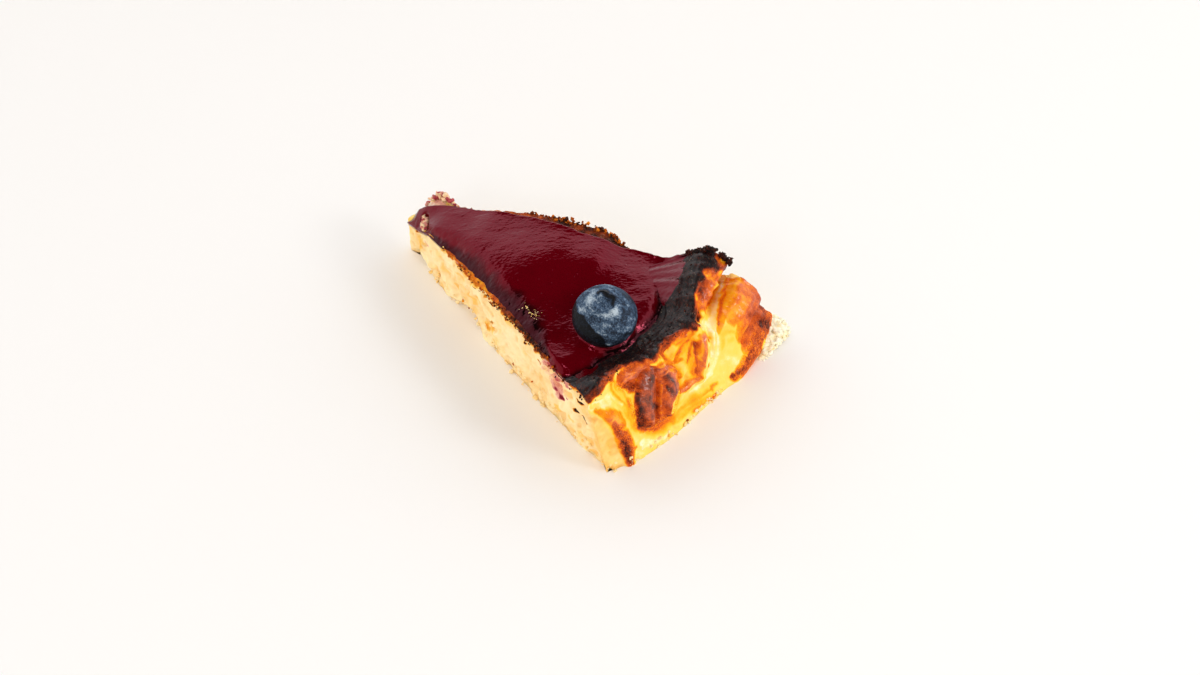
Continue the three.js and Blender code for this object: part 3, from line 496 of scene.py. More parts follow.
# How finely the surfaces are divided
NEAR_COLUMNS = 270
CRUST_COLUMNS = 270
FAR_COLUMNS = 170
POINT_COLUMNS = 12
WALL_ROWS = 92
BAND_RINGS = 28
BAND_SHARE = 0.76
INNER_RINGS = 5
UNDER_SHARES = np.array([0.5, 0.02, 0.0])
GLAZE_ROWS = 430
GLAZE_COLUMNS = 215
BERRY_COLUMNS = 220
BERRY_ROWS = 150


def mix(start, end, share):
    return start + (end - start) * share


def step(start, end, x):
    """0 before start, 1 after end, and smooth between them."""
    t = np.clip((x - start) / (end - start), 0, 1)
    return t * t * (3 - 2 * t)


def bell(x, middle, spread):
    return np.exp(-(((x - middle) / spread) ** 2))


def scatter(cell, seed):
    """Repeatable numbers from 0 to 1 for whole-number cells: their parts are multiplied and mixed."""
    c = cell.astype(np.int64)
    h = c[..., 0] * 374761393 + c[..., 1] * 668265263 + c[..., 2] * 1911520717 + seed * 1442695041
    h = (h ^ (h >> 13)) * 1274126177
    h = (h ^ (h >> 16)) & 0xFFFFFF
    return h / 0xFFFFFF


def noise(points, size, seed):
    """Smooth noise from -1 to 1: random values at the corners of cubes of one size, blended between
    the corners by a curve that is level at both ends. Sizes are in millimetres unless the points are
    scaled before, and the seed picks the pattern."""
    at = points / size
    cell = np.floor(at)
    part = at - cell
    fade = part**3 * (part * (part * 6 - 15) + 10)
    total = 0
    for corner in np.ndindex(2, 2, 2):
        weight = np.prod(np.where(corner, fade, 1 - fade), axis=-1)
        total = total + weight * scatter(cell + corner, seed)
    return 2 * total - 1


def layered(points, size, seed, layers=3):
    """Noise with finer and fainter noise on top, each layer half the size and half the strength."""
    return sum(noise(points, size / 2**i, seed + i) / 2**i for i in range(layers)) / 1.6


def lumps(points, size, seed):
    """Distance, in sizes, to the nearest of the points that lie one in each cube, at random in it."""
    at = points / size
    cell = np.floor(at)
    nearest = np.full(at.shape[:-1], 9.0)
    for offset in np.ndindex(3, 3, 3):
        near = cell + np.array(offset) - 1
        spot = near + np.stack([scatter(near, seed + i) for i in range(3)], -1)
        nearest = np.minimum(nearest, np.linalg.norm(at - spot, axis=-1))
    return nearest


def place(r, a, z):
    """A point in the part's frame from the cake's own radius, angle and height."""
    turn = np.radians(a)
    x, y, z = np.broadcast_arrays(CAKE_CENTRE[0] + r * np.cos(turn), CAKE_CENTRE[1] + r * np.sin(turn), z)
    return np.stack([x, y, z], -1)


MIDDLE = place(MIDDLE_RADIUS, 0, 0.0)


def polar(points):
    """Radius and angle round the cake's centre."""
    x = points[..., 0] - CAKE_CENTRE[0]
    y = points[..., 1] - CAKE_CENTRE[1]
    return np.hypot(x, y), np.degrees(np.arctan2(y, x))


def swell(r, a):
    """Rounded heaps that fade out towards the cuts and the rim."""
    turn = np.radians(a)
    x, y = r * np.cos(turn), r * np.sin(turn)
    total = 0
    for heap in SWELLS:
        to = math.radians(heap.angle)
        away = np.hypot(x - heap.radius * math.cos(to), y - heap.radius * math.sin(to))
        total = total + heap.height * np.exp(-((away / SWELL_SPREAD) ** 2))
    near, far = (r * np.sin(math.radians(HALF_ANGLE) + side * turn) for side in (1, -1))
    return total * step(0, 6, near) * step(0, 5, far) * (1 - step(90, 99, r))


def top_height(r, a):
    """Height of the cake's top: a pool that goes over smoothly from the height along the near cut to
    that along the far one, and rises to the burnt rim, whose edge waves up and down."""
    across = step(-HALF_ANGLE, HALF_ANGLE, a)
    pool = mix(NEAR_TOP(r), FAR_TOP(r), across) + swell(r, a)
    crag = RIM_CRAG * (np.sin(a * 1.7 + 0.6) + 0.8 * np.sin(a * 3.1 + 2))
    return mix(pool, RIM_HEIGHT(a) + crag, step(RIM_STARTS(a), RIM_ENDS(a), r))


def curd(along, up):
    """Lumps of the cut crumb: three sets of bent waves that cross, so that no row of them shows."""
    k = 2 * np.pi / CURD_PITCH
    bent_along = along + 1.7 * np.sin(0.45 * up + 0.11 * along)
    bent_up = up + 1.3 * np.sin(0.37 * along)
    waves = np.sin(bent_along * k) * np.sin(bent_up * k * 0.8 + 1.1)
    waves = waves + 0.7 * np.sin(bent_along * k * 0.43 + bent_up * 0.35)
    return CURD_RELIEF * (waves + 0.5 * np.sin(bent_up * k * 1.3 - bent_along * k * 0.61))


def stroke(a, share, spine, left=1, right=1):
    """A tapering stroke on the crust along a spine of (angle, share, half width) points. Returns how
    far inside it a point is, 1 on the spine and 0 at its edge, and the distances along and across."""
    x, y = np.broadcast_arrays(np.radians(a) * CRUST_RADIUS, share * WALL_SLANT)
    best = np.full(x.shape, -9.0)
    along, across = np.zeros(x.shape), np.zeros(x.shape)
    run = 0.0
    for (a0, s0, w0), (a1, s1, w1) in zip(spine, spine[1:]):
        x0, y0 = math.radians(a0) * CRUST_RADIUS, s0 * WALL_SLANT
        dx, dy = math.radians(a1) * CRUST_RADIUS - x0, s1 * WALL_SLANT - y0
        length = math.hypot(dx, dy)
        t = np.clip(((x - x0) * dx + (y - y0) * dy) / length**2, 0, 1)
        side = np.sign((x - x0) * dy - (y - y0) * dx)
        off = np.hypot(x - x0 - t * dx, y - y0 - t * dy)
        inside = 1 - off / (mix(w0, w1, t) * np.where(side > 0, right, left))
        nearer = inside > best
        best = np.where(nearer, inside, best)
        along = np.where(nearer, run + t * length, along)
        across = np.where(nearer, side * off, across)
        run += length
    return best, along, across


def crust_folds(a, share):
    """How far the folds stand out: the highest of a set of rounded strokes with fine wrinkles along
    them, less the grooves between them. Wrinkles are noise stretched along the stroke."""
    out = np.zeros(np.broadcast(a, share).shape)
    for i, fold in enumerate(FOLDS):
        inside, along, across = stroke(a, share, fold.spine, fold.left, fold.right)
        t = np.clip(inside, 0, 1)
        lines = noise(np.stack([along / 4.5, across / 0.8, np.full(along.shape, i * 7.3)], -1), 1, 31)
        out = np.maximum(out, fold.out * (t * (2 - t)) ** 0.65 + fold.wrinkle * lines * step(0, 0.5, t))
    for crease in CREASES:
        out = out + crease.out * step(0, 0.9, stroke(a, share, crease.spine)[0])
    return out


FOLD_INDEX = np.linspace(0, 1, len(FAR_FOLD))
FOLD_RADIUS = curve(*zip(FOLD_INDEX, [r for r, z in FAR_FOLD]))
FOLD_HEIGHT = curve(*zip(FOLD_INDEX, [z for r, z in FAR_FOLD]))


def wall_point(a, share):
    """Radius and height on the crust's wall: a leaning cone with lobes on it, which the far corner's
    rolled fold takes over from towards the far cut."""
    fold = step(FAR_FOLD_STARTS, FAR_FOLD_FULL, a)
    top = top_height(RIM_RADIUS(a), a)
    bump = crust_folds(a, share) - RIM_TUCK * bell(share, RIM_TUCK_AT, RIM_TUCK_SPREAD) * (1 - fold)
    r = mix(mix(FOOT_RADIUS(a), RIM_RADIUS(a), share), FOLD_RADIUS(share), fold) + bump * FOLDS_OUT
    z = mix(share * top, FOLD_HEIGHT(share) * top / FAR_FOLD[-1][1], fold)
    return r, z + FOLDS_UP * bump * step(0, 0.2, share) * (1 - step(0.8, 1, share))


def cut_point(side, along, share):
    """A point of one cut, side -1 for the near one and 1 for the far one: how far along from the
    point to the crust, and the share of the height."""
    a = side * HALF_ANGLE
    corner_r, corner_z = wall_point(a, share)
    r = mix(POINT_RADIUS, corner_r, along)
    top = top_height(r, a)
    z = mix(share * top, corner_z * top / top_height(RIM_RADIUS(a), a), step(0.86, 1, along))
    foot = 1 - step(0, FOOT_BAND, share)
    out = curd(r + 40 * (side + 1), z) * step(0, 0.12, share) * step(0, 0.06, 1 - share)
    if side < 0:
        out = (out + NEAR_FOOT_OUT(r) * foot) * step(0, 0.04, 1 - along)
    else:
        out = out * step(0, 0.04, 1 - along) + FAR_TOP_OUT(r) * step(0.35, 1, share)
        out = out + 0.8 * foot * (1 - along)
        out = out + SMEAR.out * bell(r, SMEAR.radius, SMEAR.spread) * step(SMEAR.starts, SMEAR.full, share)
    out = out * step(0, 0.05, along)
    points = place(r, a, z)
    points[..., 0] -= out * side * math.sin(math.radians(a))
    points[..., 1] += out * side * math.cos(math.radians(a))
    return points


def cake_wall():
    """The slice's side, rows from foot to top edge and columns from the point along the near cut,
    round the crust, back along the far cut and over the rounded point. Returns the points, each
    column's side (-1 near, 0 crust, 1 far, 2 point) and each row's share of the height."""
    share = np.linspace(0, 1, WALL_ROWS + 1)[:, None]
    near = cut_point(-1, np.arange(NEAR_COLUMNS)[None] / NEAR_COLUMNS, share)
    a = np.linspace(-HALF_ANGLE, HALF_ANGLE, CRUST_COLUMNS + 1)[None]
    crust_r, crust_z = wall_point(a, share)
    crust = place(crust_r, a, crust_z)
    far = cut_point(1, 1 - np.arange(1, FAR_COLUMNS + 1)[None] / FAR_COLUMNS, share)
    turn = np.pi * np.arange(1, POINT_COLUMNS)[None] / POINT_COLUMNS
    r = POINT_RADIUS - POINT_ROUNDING * np.sin(turn)
    a = HALF_ANGLE * np.cos(turn)
    point = place(r, a, share * top_height(r, a))
    parts = (near, crust, far, point)
    side = np.concatenate([np.full(part.shape[1], kind) for part, kind in zip(parts, (-1, 0, 1, 2))])
    return np.concatenate(parts, 1), side, share


def crust_tone(points, a, share):
    """How far the crust is baked: a pale ground, scorched strokes with uneven edges and fine streaks
    along them, and a band that goes from brown to black at the rim."""
    bent_a = a + 0.32 * layered(points, 2.6, 5)
    bent_share = share + 0.018 * layered(points, 2.2, 7)
    tone = CRUST_TONE + 0.06 * layered(points, 5, 11)
    for i, scorch in enumerate(SCORCHES):
        inside, along, across = stroke(bent_a, bent_share, scorch.spine)
        if scorch.tone > HALOED_ABOVE:
            tone = np.maximum(tone, HALO_TONE * step(-HALO_SPREAD, 0, inside))
        painted = scorch.tone
        if max(width for *at, width in scorch.spine) > STREAKED_FROM:
            lines = np.stack([along / 6, across / 0.7, 0 * along + 5.3 * i], -1)
            painted = painted + STREAK * noise(lines, 1, 83)
        tone = mix(tone, painted, step(-0.25 * scorch.soft, scorch.soft, inside))
    tone = tone + 0.12 * step(0.25, 0.5, tone) * layered(points, 1.4, 13)
    ragged = 0.035 * layered(points, 2.2, 17)
    black, pale = BLACK_EDGE(a), PALE_EDGE(a)
    band = mix(BAND_TONE_LOW(a), BAND_TONE_HIGH(a), np.clip((share - pale) / (black - pale), 0, 1))
    band = band + 0.26 * layered(points * [1, 0.6, 1], 1.7, 23) + 0.1 * noise(points, 0.7, 29)
    tone = mix(tone, band, step(-0.02, 0.015, share - pale + ragged))
    return np.maximum(mix(tone, 1.0, step(-0.02, 0.025, share - black + ragged)), PALEST_CRUST)


def stroked(points, a, share, spines, seed):
    """1 inside any of some strokes on the crust and 0 outside them, with uneven edges."""
    uneven = 0.3 * layered(points, 1.6, seed)
    return np.maximum.reduce([step(0, 0.7, stroke(a, share, spine)[0] + uneven) for spine in spines])


def spotted(points, r, z, value, spots, seed, rough=0.3, sharp=0.7):
    """A value replaced by each spot's strength inside its uneven oval."""
    uneven = rough * layered(points, 1.6, seed)
    for spot in spots:
        reach = np.hypot((r - spot.radius) / spot.long, (z - spot.height) / spot.high) + uneven
        value = mix(value, spot.strength, 1 - step(sharp, 1.2, reach))
    return value


def cut_tone(points, r, depth, skin):
    """How far the cut is baked: a burnt skin under the top edge, whose lower border is crumbly, a
    thin browned line at the crust, yellow blotches and dark crumbs."""
    ragged = 0.55 * layered(points, 1.5, 41)
    share = depth / SKIN_DEPTH(r) + ragged
    tone = skin * (1 - step(0.2, 1.15, share)) * (1 + 0.35 * layered(points, 1.1, 47))
    edge = 0.14 * step(4, 1.0, FOOT_RADIUS(-HALF_ANGLE) - r - 0.36 * points[..., 2])
    warm = 0.09 * step(0.1, 0.7, layered(points, 4.5, 43))
    tone = np.maximum(tone, edge) + warm
    tone = spotted(points, r, points[..., 2], tone, BLOTCHES, 51, 0.5, 0.4)
    return np.clip(spotted(points, r, points[..., 2], tone, DARK_CRUMBS, 53), 0, 1)


def normals(rings):
    """Unit normals of a grid whose columns close on themselves, from its neighbours on both sides."""
    around = np.roll(rings, -1, 1) - np.roll(rings, 1, 1)
    up = np.gradient(rings, axis=0)
    cross = np.cross(around, up)
    return cross / np.maximum(np.linalg.norm(cross, axis=-1, keepdims=True), 1e-9)


def ring_faces(rows, columns):
    """Four-sided faces of rings that close on themselves, numbered row by row, and a fan of
    triangles over each end, round the two points that follow the last ring."""
    ring = np.arange(columns)
    after = (ring + 1) % columns
    starts = np.arange(rows - 1)[:, None] * columns
    low, low_after = (starts + ring).ravel(), (starts + after).ravel()
    quads = np.stack([low, low_after, low_after + columns, low + columns], -1)
    top, foot_point, top_point = (rows - 1) * columns, rows * columns, rows * columns + 1
    fans = np.concatenate([
        np.stack([np.full(columns, foot_point), after, ring], -1),
        np.stack([ring + top, after + top, np.full(columns, top_point)], -1),
    ])
    return [quads, fans]


def new_piece(name, points, faces, material, fields=None):
    """A smooth mesh piece on the part's body from points in millimetres, a list of face arrays and
    values for each point."""
    mesh = bpy.data.meshes.new(name)
    mesh.vertices.add(len(points))
    mesh.vertices.foreach_set("co", (points * MM).astype(np.float32).ravel())
    corners = np.concatenate([f.ravel() for f in faces])
    sizes = np.concatenate([np.full(len(f), f.shape[1]) for f in faces])
    mesh.loops.add(len(corners))
    mesh.loops.foreach_set("vertex_index", corners.astype(np.int32))
    mesh.polygons.add(len(sizes))
    mesh.polygons.foreach_set("loop_start", (np.cumsum(sizes) - sizes).astype(np.int32))
    mesh.update(calc_edges=True)
    mesh.shade_smooth()
    for field, values in (fields or {}).items():
        attribute = mesh.attributes.new(field, "FLOAT", "POINT")
        attribute.data.foreach_set("value", values.astype(np.float32).ravel())
    mesh.materials.append(material)
    piece = bpy.data.objects.new(name, mesh)
    bpy.context.scene.collection.objects.link(piece)
    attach(piece, "root")
    return piece


def join(tree, made, inputs):
    """Each named or numbered input of a node is joined to a socket or given a value."""
    for key, value in inputs.items():
        if isinstance(value, bpy.types.NodeSocket):
            tree.links.new(value, made.inputs[key])
        else:
            made.inputs[key].default_value = value


def node(tree, kind, inputs=None, **settings):
    """A shader node with its settings and inputs."""
    made = tree.nodes.new(kind)
    for key, value in settings.items():
        setattr(made, key, value)
    join(tree, made, inputs or {})
    return made


def maths(tree, operation, first, second=0.0):
    return node(tree, "ShaderNodeMath", {0: first, 1: second}, operation=operation).outputs[0]


def ramp(tree, factor, stops):
    """A colour ramp from (place, colour) pairs."""
    made = node(tree, "ShaderNodeValToRGB", {"Fac": factor})
    elements = made.color_ramp.elements
    while len(elements) < len(stops):
        elements.new(0.5)
    for element, (at, colour) in zip(elements, stops):
        element.position = at
        element.color = (*colour, 1)
    return made.outputs["Color"]


def blend_colours(tree, factor, first, second, kind="MIX"):
    made = node(tree, "ShaderNodeMix", {"Factor": factor}, data_type="RGBA", blend_type=kind)
    for index, value in ((6, first), (7, second)):
        join(tree, made, {index: value if isinstance(value, bpy.types.NodeSocket) else (*value, 1)})
    return made.outputs[2]


def between(tree, value, low, high, new_low, new_high):
    inputs = {"Value": value, "From Min": low, "From Max": high, "To Min": new_low, "To Max": new_high}
    return node(tree, "ShaderNodeMapRange", inputs, interpolation_type="SMOOTHSTEP").outputs[0]


def attribute(tree, name):
    return node(tree, "ShaderNodeAttribute", attribute_name=name).outputs["Fac"]


def new_group(name, inputs, output):
    """An empty shader node group with named inputs, each with a default, and one named output."""
    tree = bpy.data.node_groups.new(name, "ShaderNodeTree")
    for key, default in inputs.items():
        socket = tree.interface.new_socket(key, in_out="INPUT", socket_type="NodeSocketFloat")
        socket.default_value = default
    tree.interface.new_socket(output, in_out="OUTPUT", socket_type="NodeSocketFloat")
    return tree, node(tree, "NodeGroupInput").outputs, node(tree, "NodeGroupOutput").inputs[output]


def cloud(tree, size, detail):
    """Noise through the object, with blobs of a size in millimetres."""
    place_on = node(tree, "ShaderNodeTexCoord").outputs["Object"]
    scale = maths(tree, "DIVIDE", 1 / MM, size)
    made = node(tree, "ShaderNodeTexNoise", {"Vector": place_on, "Scale": scale, "Detail": detail})
    return made.outputs["Fac"]


def mottle():
    """A value made uneven by coarse and fine noise, each with a size in millimetres and a strength."""
    names = {"Value": 0.5, "Coarse size": 3, "Coarse strength": 0.1, "Fine size": 0.6, "Fine strength": 0.1}
    tree, given, result = new_group("mottle", names, "Value")
    total = given["Value"]
    for kind in ("Coarse", "Fine"):
        centred = maths(tree, "SUBTRACT", cloud(tree, given[f"{kind} size"], 3.0), 0.5)
        total = maths(tree, "ADD", total, maths(tree, "MULTIPLY", centred, given[f"{kind} strength"]))
    tree.links.new(node(tree, "ShaderNodeClamp", {"Value": total}).outputs[0], result)
    return tree


def grain():
    """Fine relief: soft grain, and pits whose depth and size in millimetres are given. Height is in
    millimetres too."""
    names = {"Grain size": 0.5, "Grain height": 0.05, "Pit size": 0.8, "Pit depth": 0.1, "Pit share": 0.3}
    tree, given, result = new_group("grain", names, "Height")
    soft = maths(tree, "MULTIPLY", cloud(tree, given["Grain size"], 4.0), given["Grain height"])
    place_on = node(tree, "ShaderNodeTexCoord").outputs["Object"]
    scale = maths(tree, "DIVIDE", 1 / MM, given["Pit size"])
    away = node(tree, "ShaderNodeTexVoronoi", {"Vector": place_on, "Scale": scale}).outputs["Distance"]
    pits = between(tree, away, 0.0, given["Pit share"], 1.0, 0.0)
    tree.links.new(maths(tree, "SUBTRACT", soft, maths(tree, "MULTIPLY", pits, given["Pit depth"])), result)
    return tree


def ripples():
    """Low ripples, longer along one direction of the plan than across it. Sizes and height are in
    millimetres."""
    tree, given, result = new_group("ripples", {"Width": 0.7, "Length": 1.7, "Size": 0.05}, "Height")
    turned = node(tree, "ShaderNodeVectorRotate", {
        "Vector": node(tree, "ShaderNodeTexCoord").outputs["Object"], "Angle": math.radians(-WAVES_RUN),
    }, rotation_type="Z_AXIS")
    split = node(tree, "ShaderNodeSeparateXYZ", {"Vector": turned.outputs["Vector"]})
    scaled = {
        axis: maths(tree, "DIVIDE", maths(tree, "MULTIPLY", split.outputs[axis], 1 / MM), given[size])
        for axis, size in (("X", "Width"), ("Y", "Length"))
    }
    where = node(tree, "ShaderNodeCombineXYZ", scaled).outputs["Vector"]
    waves = node(tree, "ShaderNodeTexNoise", {"Vector": where, "Scale": 1.0, "Detail": 1.0})
    tree.links.new(maths(tree, "MULTIPLY", waves.outputs["Fac"], given["Size"]), result)
    return tree


def grouped(tree, build, **inputs):
    """The output of a node group, which is built when it is first used."""
    made = tree.nodes.new("ShaderNodeGroup")
    made.node_tree = bpy.data.node_groups.get(build.__name__) or build()
    join(tree, made, {key.replace("_", " ").capitalize(): value for key, value in inputs.items()})
    return made.outputs[0]


def new_material(name):
    """An empty material with one Principled shader: its node tree and that shader."""
    material = bpy.data.materials.new(name)
    material.use_nodes = True
    tree = material.node_tree
    return material, tree, tree.nodes["Principled BSDF"]


def bump(tree, shader, height, strength):
    """Relief whose height is in millimetres."""
    made = node(tree, "ShaderNodeBump", {"Height": height, "Strength": strength, "Distance": MM})
    join(tree, shader, {"Normal": made.outputs["Normal"]})


CRUST_TONES = tones(
    (0, 255, 253, 240), (0.05, 252, 234, 166), (0.1, 250, 220, 112), (0.2, 252, 210, 76),
    (0.3, 252, 186, 30), (0.4, 244, 148, 8), (0.5, 226, 108, 20), (0.6, 200, 84, 27), (0.7, 170, 66, 22),
    (0.8, 126, 46, 18), (0.9, 82, 30, 18), (1, 21, 18, 20),
)
CUT_TONES = tones(
    (0, 255, 236, 188), (0.12, 254, 218, 142), (0.25, 250, 206, 108), (0.38, 236, 158, 48),
    (0.52, 204, 104, 22), (0.7, 138, 60, 16), (0.86, 66, 28, 14), (1, 28, 20, 18),
)
STAIN_TONES = tones((0, 255, 232, 200), (0.35, 232, 172, 152), (0.65, 190, 84, 92), (1, 112, 8, 28))
# Painted shade: the colour that the cut's hollows are multiplied by, standing in for the shade in them
PAINTED_PIT_SHADE = (0.96, 0.84, 0.68)

# Shares of the glaze's colour between which it varies, and the tint of what it mirrors
RED_SHARES = (0.62, 0.88)
GLAZE_MIRRORS = (1.0, 0.14, 0.24)


def cake_material():
    """Cream crumb on the cuts and browned skin on the crust: the tone picks a colour from one of two
    rows of tones, after fine mottling, and berry juice tints the crumb. The cut is darkened in its
    hollows as painted shade."""
    material, tree, shader = new_material("crumb_and_crust")
    tone = attribute(tree, "tone")
    cut = attribute(tree, "cut")
    baked = maths(tree, "MULTIPLY", between(tree, tone, 0.25, 0.6, 0.0, 1.0), 0.3)
    speckled = maths(tree, "MULTIPLY", attribute(tree, "freckle"), 0.6)
    fine = maths(tree, "ADD", maths(tree, "ADD", baked, speckled), 0.06)
    uneven = grouped(tree, mottle, value=tone, coarse_size=2.4, coarse_strength=0.16, fine_size=0.42,
                     fine_strength=fine)
    colour = blend_colours(tree, cut, ramp(tree, uneven, CRUST_TONES), ramp(tree, uneven, CUT_TONES))
    stain = grouped(tree, mottle, value=attribute(tree, "stain"), coarse_size=1.4, coarse_strength=0.4,
                    fine_size=0.4, fine_strength=0.4)
    juicy = between(tree, stain, 0.04, 0.4, 0.0, 1.0)
    colour = blend_colours(tree, juicy, colour, ramp(tree, stain, STAIN_TONES))
    # Painted shade: the cut is darkened in its hollows, by their depth kept as a field
    deep = maths(tree, "MULTIPLY", between(tree, attribute(tree, "pit"), 0.35, 1.0, 0.0, 1.0), cut)
    shaded = blend_colours(tree, 1.0, colour, PAINTED_PIT_SHADE, "MULTIPLY")
    skin = between(tree, tone, 0.1, 0.5, 0.6, 0.45)
    rough = node(tree, "ShaderNodeMix", {"Factor": cut, "A": skin, "B": 0.75}, data_type="FLOAT")
    relief = grouped(tree, grain, grain_size=0.55, grain_height=0.16, pit_size=0.7, pit_depth=0.05,
                     pit_share=0.45)
    bump(tree, shader, relief, 0.5)
    join(tree, shader, {
        "Base Color": blend_colours(tree, deep, colour, shaded),
        "Roughness": rough.outputs["Result"],
        "Coat Weight": attribute(tree, "gloss"),
        "Coat Roughness": 0.14,
        "Specular IOR Level": 0.1,
        "Subsurface Weight": 0.06,
        "Subsurface Radius": (1.0, 0.5, 0.2),
        "Subsurface Scale": 0.8 * MM,
    })
    return material


def glaze_material(settings):
    """Wet dark-red glaze: nearly black where it is thin over the burnt top, with faint ripples."""
    material, tree, shader = new_material("berry_glaze")
    thin = grouped(tree, mottle, value=attribute(tree, "thin"), coarse_size=2.6, coarse_strength=0.4,
                   fine_size=0.8, fine_strength=0.15)
    deep = grouped(tree, mottle, value=0.5, coarse_size=9, coarse_strength=0.8, fine_size=1.2,
                   fine_strength=0.25)
    reds = [tuple(share * c for c in settings.colour) for share in RED_SHARES]
    red = blend_colours(tree, deep, *reds)
    relief = grouped(tree, grain, grain_size=0.7, grain_height=0.01, pit_size=2.2, pit_depth=-0.08,
                     pit_share=0.08)
    waves = grouped(tree, ripples, width=0.8, length=1.4, size=0.13)
    waves = maths(tree, "MULTIPLY", waves, between(tree, thin, 0.3, 0.9, 1.0, 1.3))
    bump(tree, shader, maths(tree, "ADD", relief, waves), 0.8)
    join(tree, shader, {
        "Base Color": blend_colours(tree, thin, red, settings.thin_colour),
        "Roughness": between(tree, thin, 0.2, 0.9, settings.roughness, 0.13),
        "IOR": 1.5,
        "Specular Tint": (*GLAZE_MIRRORS, 1),
        "Specular IOR Level": between(tree, thin, 0.2, 0.8, 0.56, 0.4),
    })
    return material


def berry_material(settings):
    """Dark skin under a waxy bloom that is rubbed off in places, with a fine net of scratches. The bloom
    value also carries painted light, paler towards the window, and painted shade in the crown.
    """
    material, tree, shader = new_material("blueberry_skin")
    bloom = grouped(tree, mottle, value=attribute(tree, "bloom"), coarse_size=0.9, coarse_strength=0.5,
                    fine_size=0.4, fine_strength=0.9)
    between_tones = tones((0.35, 36, 47, 64), (0.6, 70, 92, 118))
    stops = ((0.0, settings.skin), *between_tones, (1.0, settings.bloom))
    relief = grouped(tree, grain, grain_size=0.7, grain_height=0.06, pit_size=0.5, pit_depth=0.03,
                     pit_share=0.3)
    bump(tree, shader, relief, 0.5)
    join(tree, shader, {
        "Base Color": ramp(tree, bloom, stops),
        "Roughness": between(tree, bloom, 0.0, 0.6, 0.35, 0.65),
        "Specular IOR Level": 0.08,
    })
    return material


def cake_surface():
    """The whole skin of the slice as rings: a flat underside, the wall, the band of the top that
    shows, and a few rings under the glaze. Returns the points, the values painted on them, and how
    many rings the underside has."""
    wall, side, share = cake_wall()
    r, a = polar(wall)
    share = np.broadcast_to(share, r.shape)
    wrapped = 1 - step(-0.25, 0.25, a - CUT_CORNER(share) + 0.25 * layered(wall, 1.5, 59))
    on_cut = np.where(side == 0, wrapped, 1.0)
    depth = top_height(r, a) - wall[..., 2]
    skin = np.where(side == 1, FAR_SKIN_TONE(r), SKIN_TONE(r))
    tone = mix(crust_tone(wall, a, share), cut_tone(wall, r, depth, skin), on_cut)
    stain = spotted(wall, r, wall[..., 2], np.zeros_like(r), STAINS, 61, 0.45, 0.3) * (side == -1)
    smeared = bell(r, SMEAR.radius, 1.3 * SMEAR.spread) * step(SMEAR.starts, SMEAR.full, share) * (side == 1)
    stain = np.maximum(stain, smeared * (0.3 + 0.4 * layered(wall, 2.4, 63)))

    shown = np.linspace(1, BAND_SHARE, BAND_RINGS + 1)[1:]
    covered = np.linspace(BAND_SHARE, 0, INNER_RINGS + 1)[1:-1]
    shares = np.concatenate([shown, covered])
    band = MIDDLE + (wall[-1][None] - MIDDLE) * shares[:, None, None]
    band_r, band_a = polar(band)
    band[..., 2] = top_height(band_r, band_a)
    over = 1 + np.maximum(RIM_RADIUS(band_a) - band_r, 0) / WALL_HEIGHT
    near_rim = step(-2.5, -0.8, band_r - GLAZE_OUTER(band_a))
    beside = mix(SKIN_TONE(band_r), FAR_SKIN_TONE(band_r), step(-5, 5, band_a)) + 0.2 * layered(band, 1.8, 71)
    band_tone = np.clip(mix(beside, crust_tone(band, band_a, over), near_rim), 0, 1)

    beyond = band_r * np.sin(np.radians(HALF_ANGLE - band_a))
    band_stain = bell(band_r, SMEAR.radius, 1.3 * SMEAR.spread) * (1 - step(-0.5, 1.5, beyond))
    band_stain = band_stain * np.clip(0.3 + 0.4 * layered(band, 2.4, 63), 0, 1)

    gloss = stroked(wall, a, share, GLOSSY, 93)
    gloss = np.maximum(gloss, FAINT_GLOSS * stroked(wall, a, share, FAINTLY_GLOSSY, 95))
    freckle = stroked(wall, a, share, FRECKLED, 91)
    under = mix(wall[0], MIDDLE, UNDER_SHARES[:, None, None])
    points = np.concatenate([under, wall[1:], band])
    blank = np.zeros((len(under), r.shape[1]))
    fields = {
        "tone": np.concatenate([blank + tone[0], tone[1:], band_tone]),
        "cut": np.concatenate([blank + on_cut[0], on_cut[1:], 0 * band_r + 0.35 * (1 - near_rim)]),
        "stain": np.concatenate([blank, stain[1:], band_stain]),
        "freckle": np.concatenate([blank, (freckle * (1 - on_cut))[1:], 0 * band_r]),
        "gloss": np.concatenate([blank, (gloss * (1 - on_cut))[1:], 0.15 * near_rim]),
    }
    return points, fields, len(under)


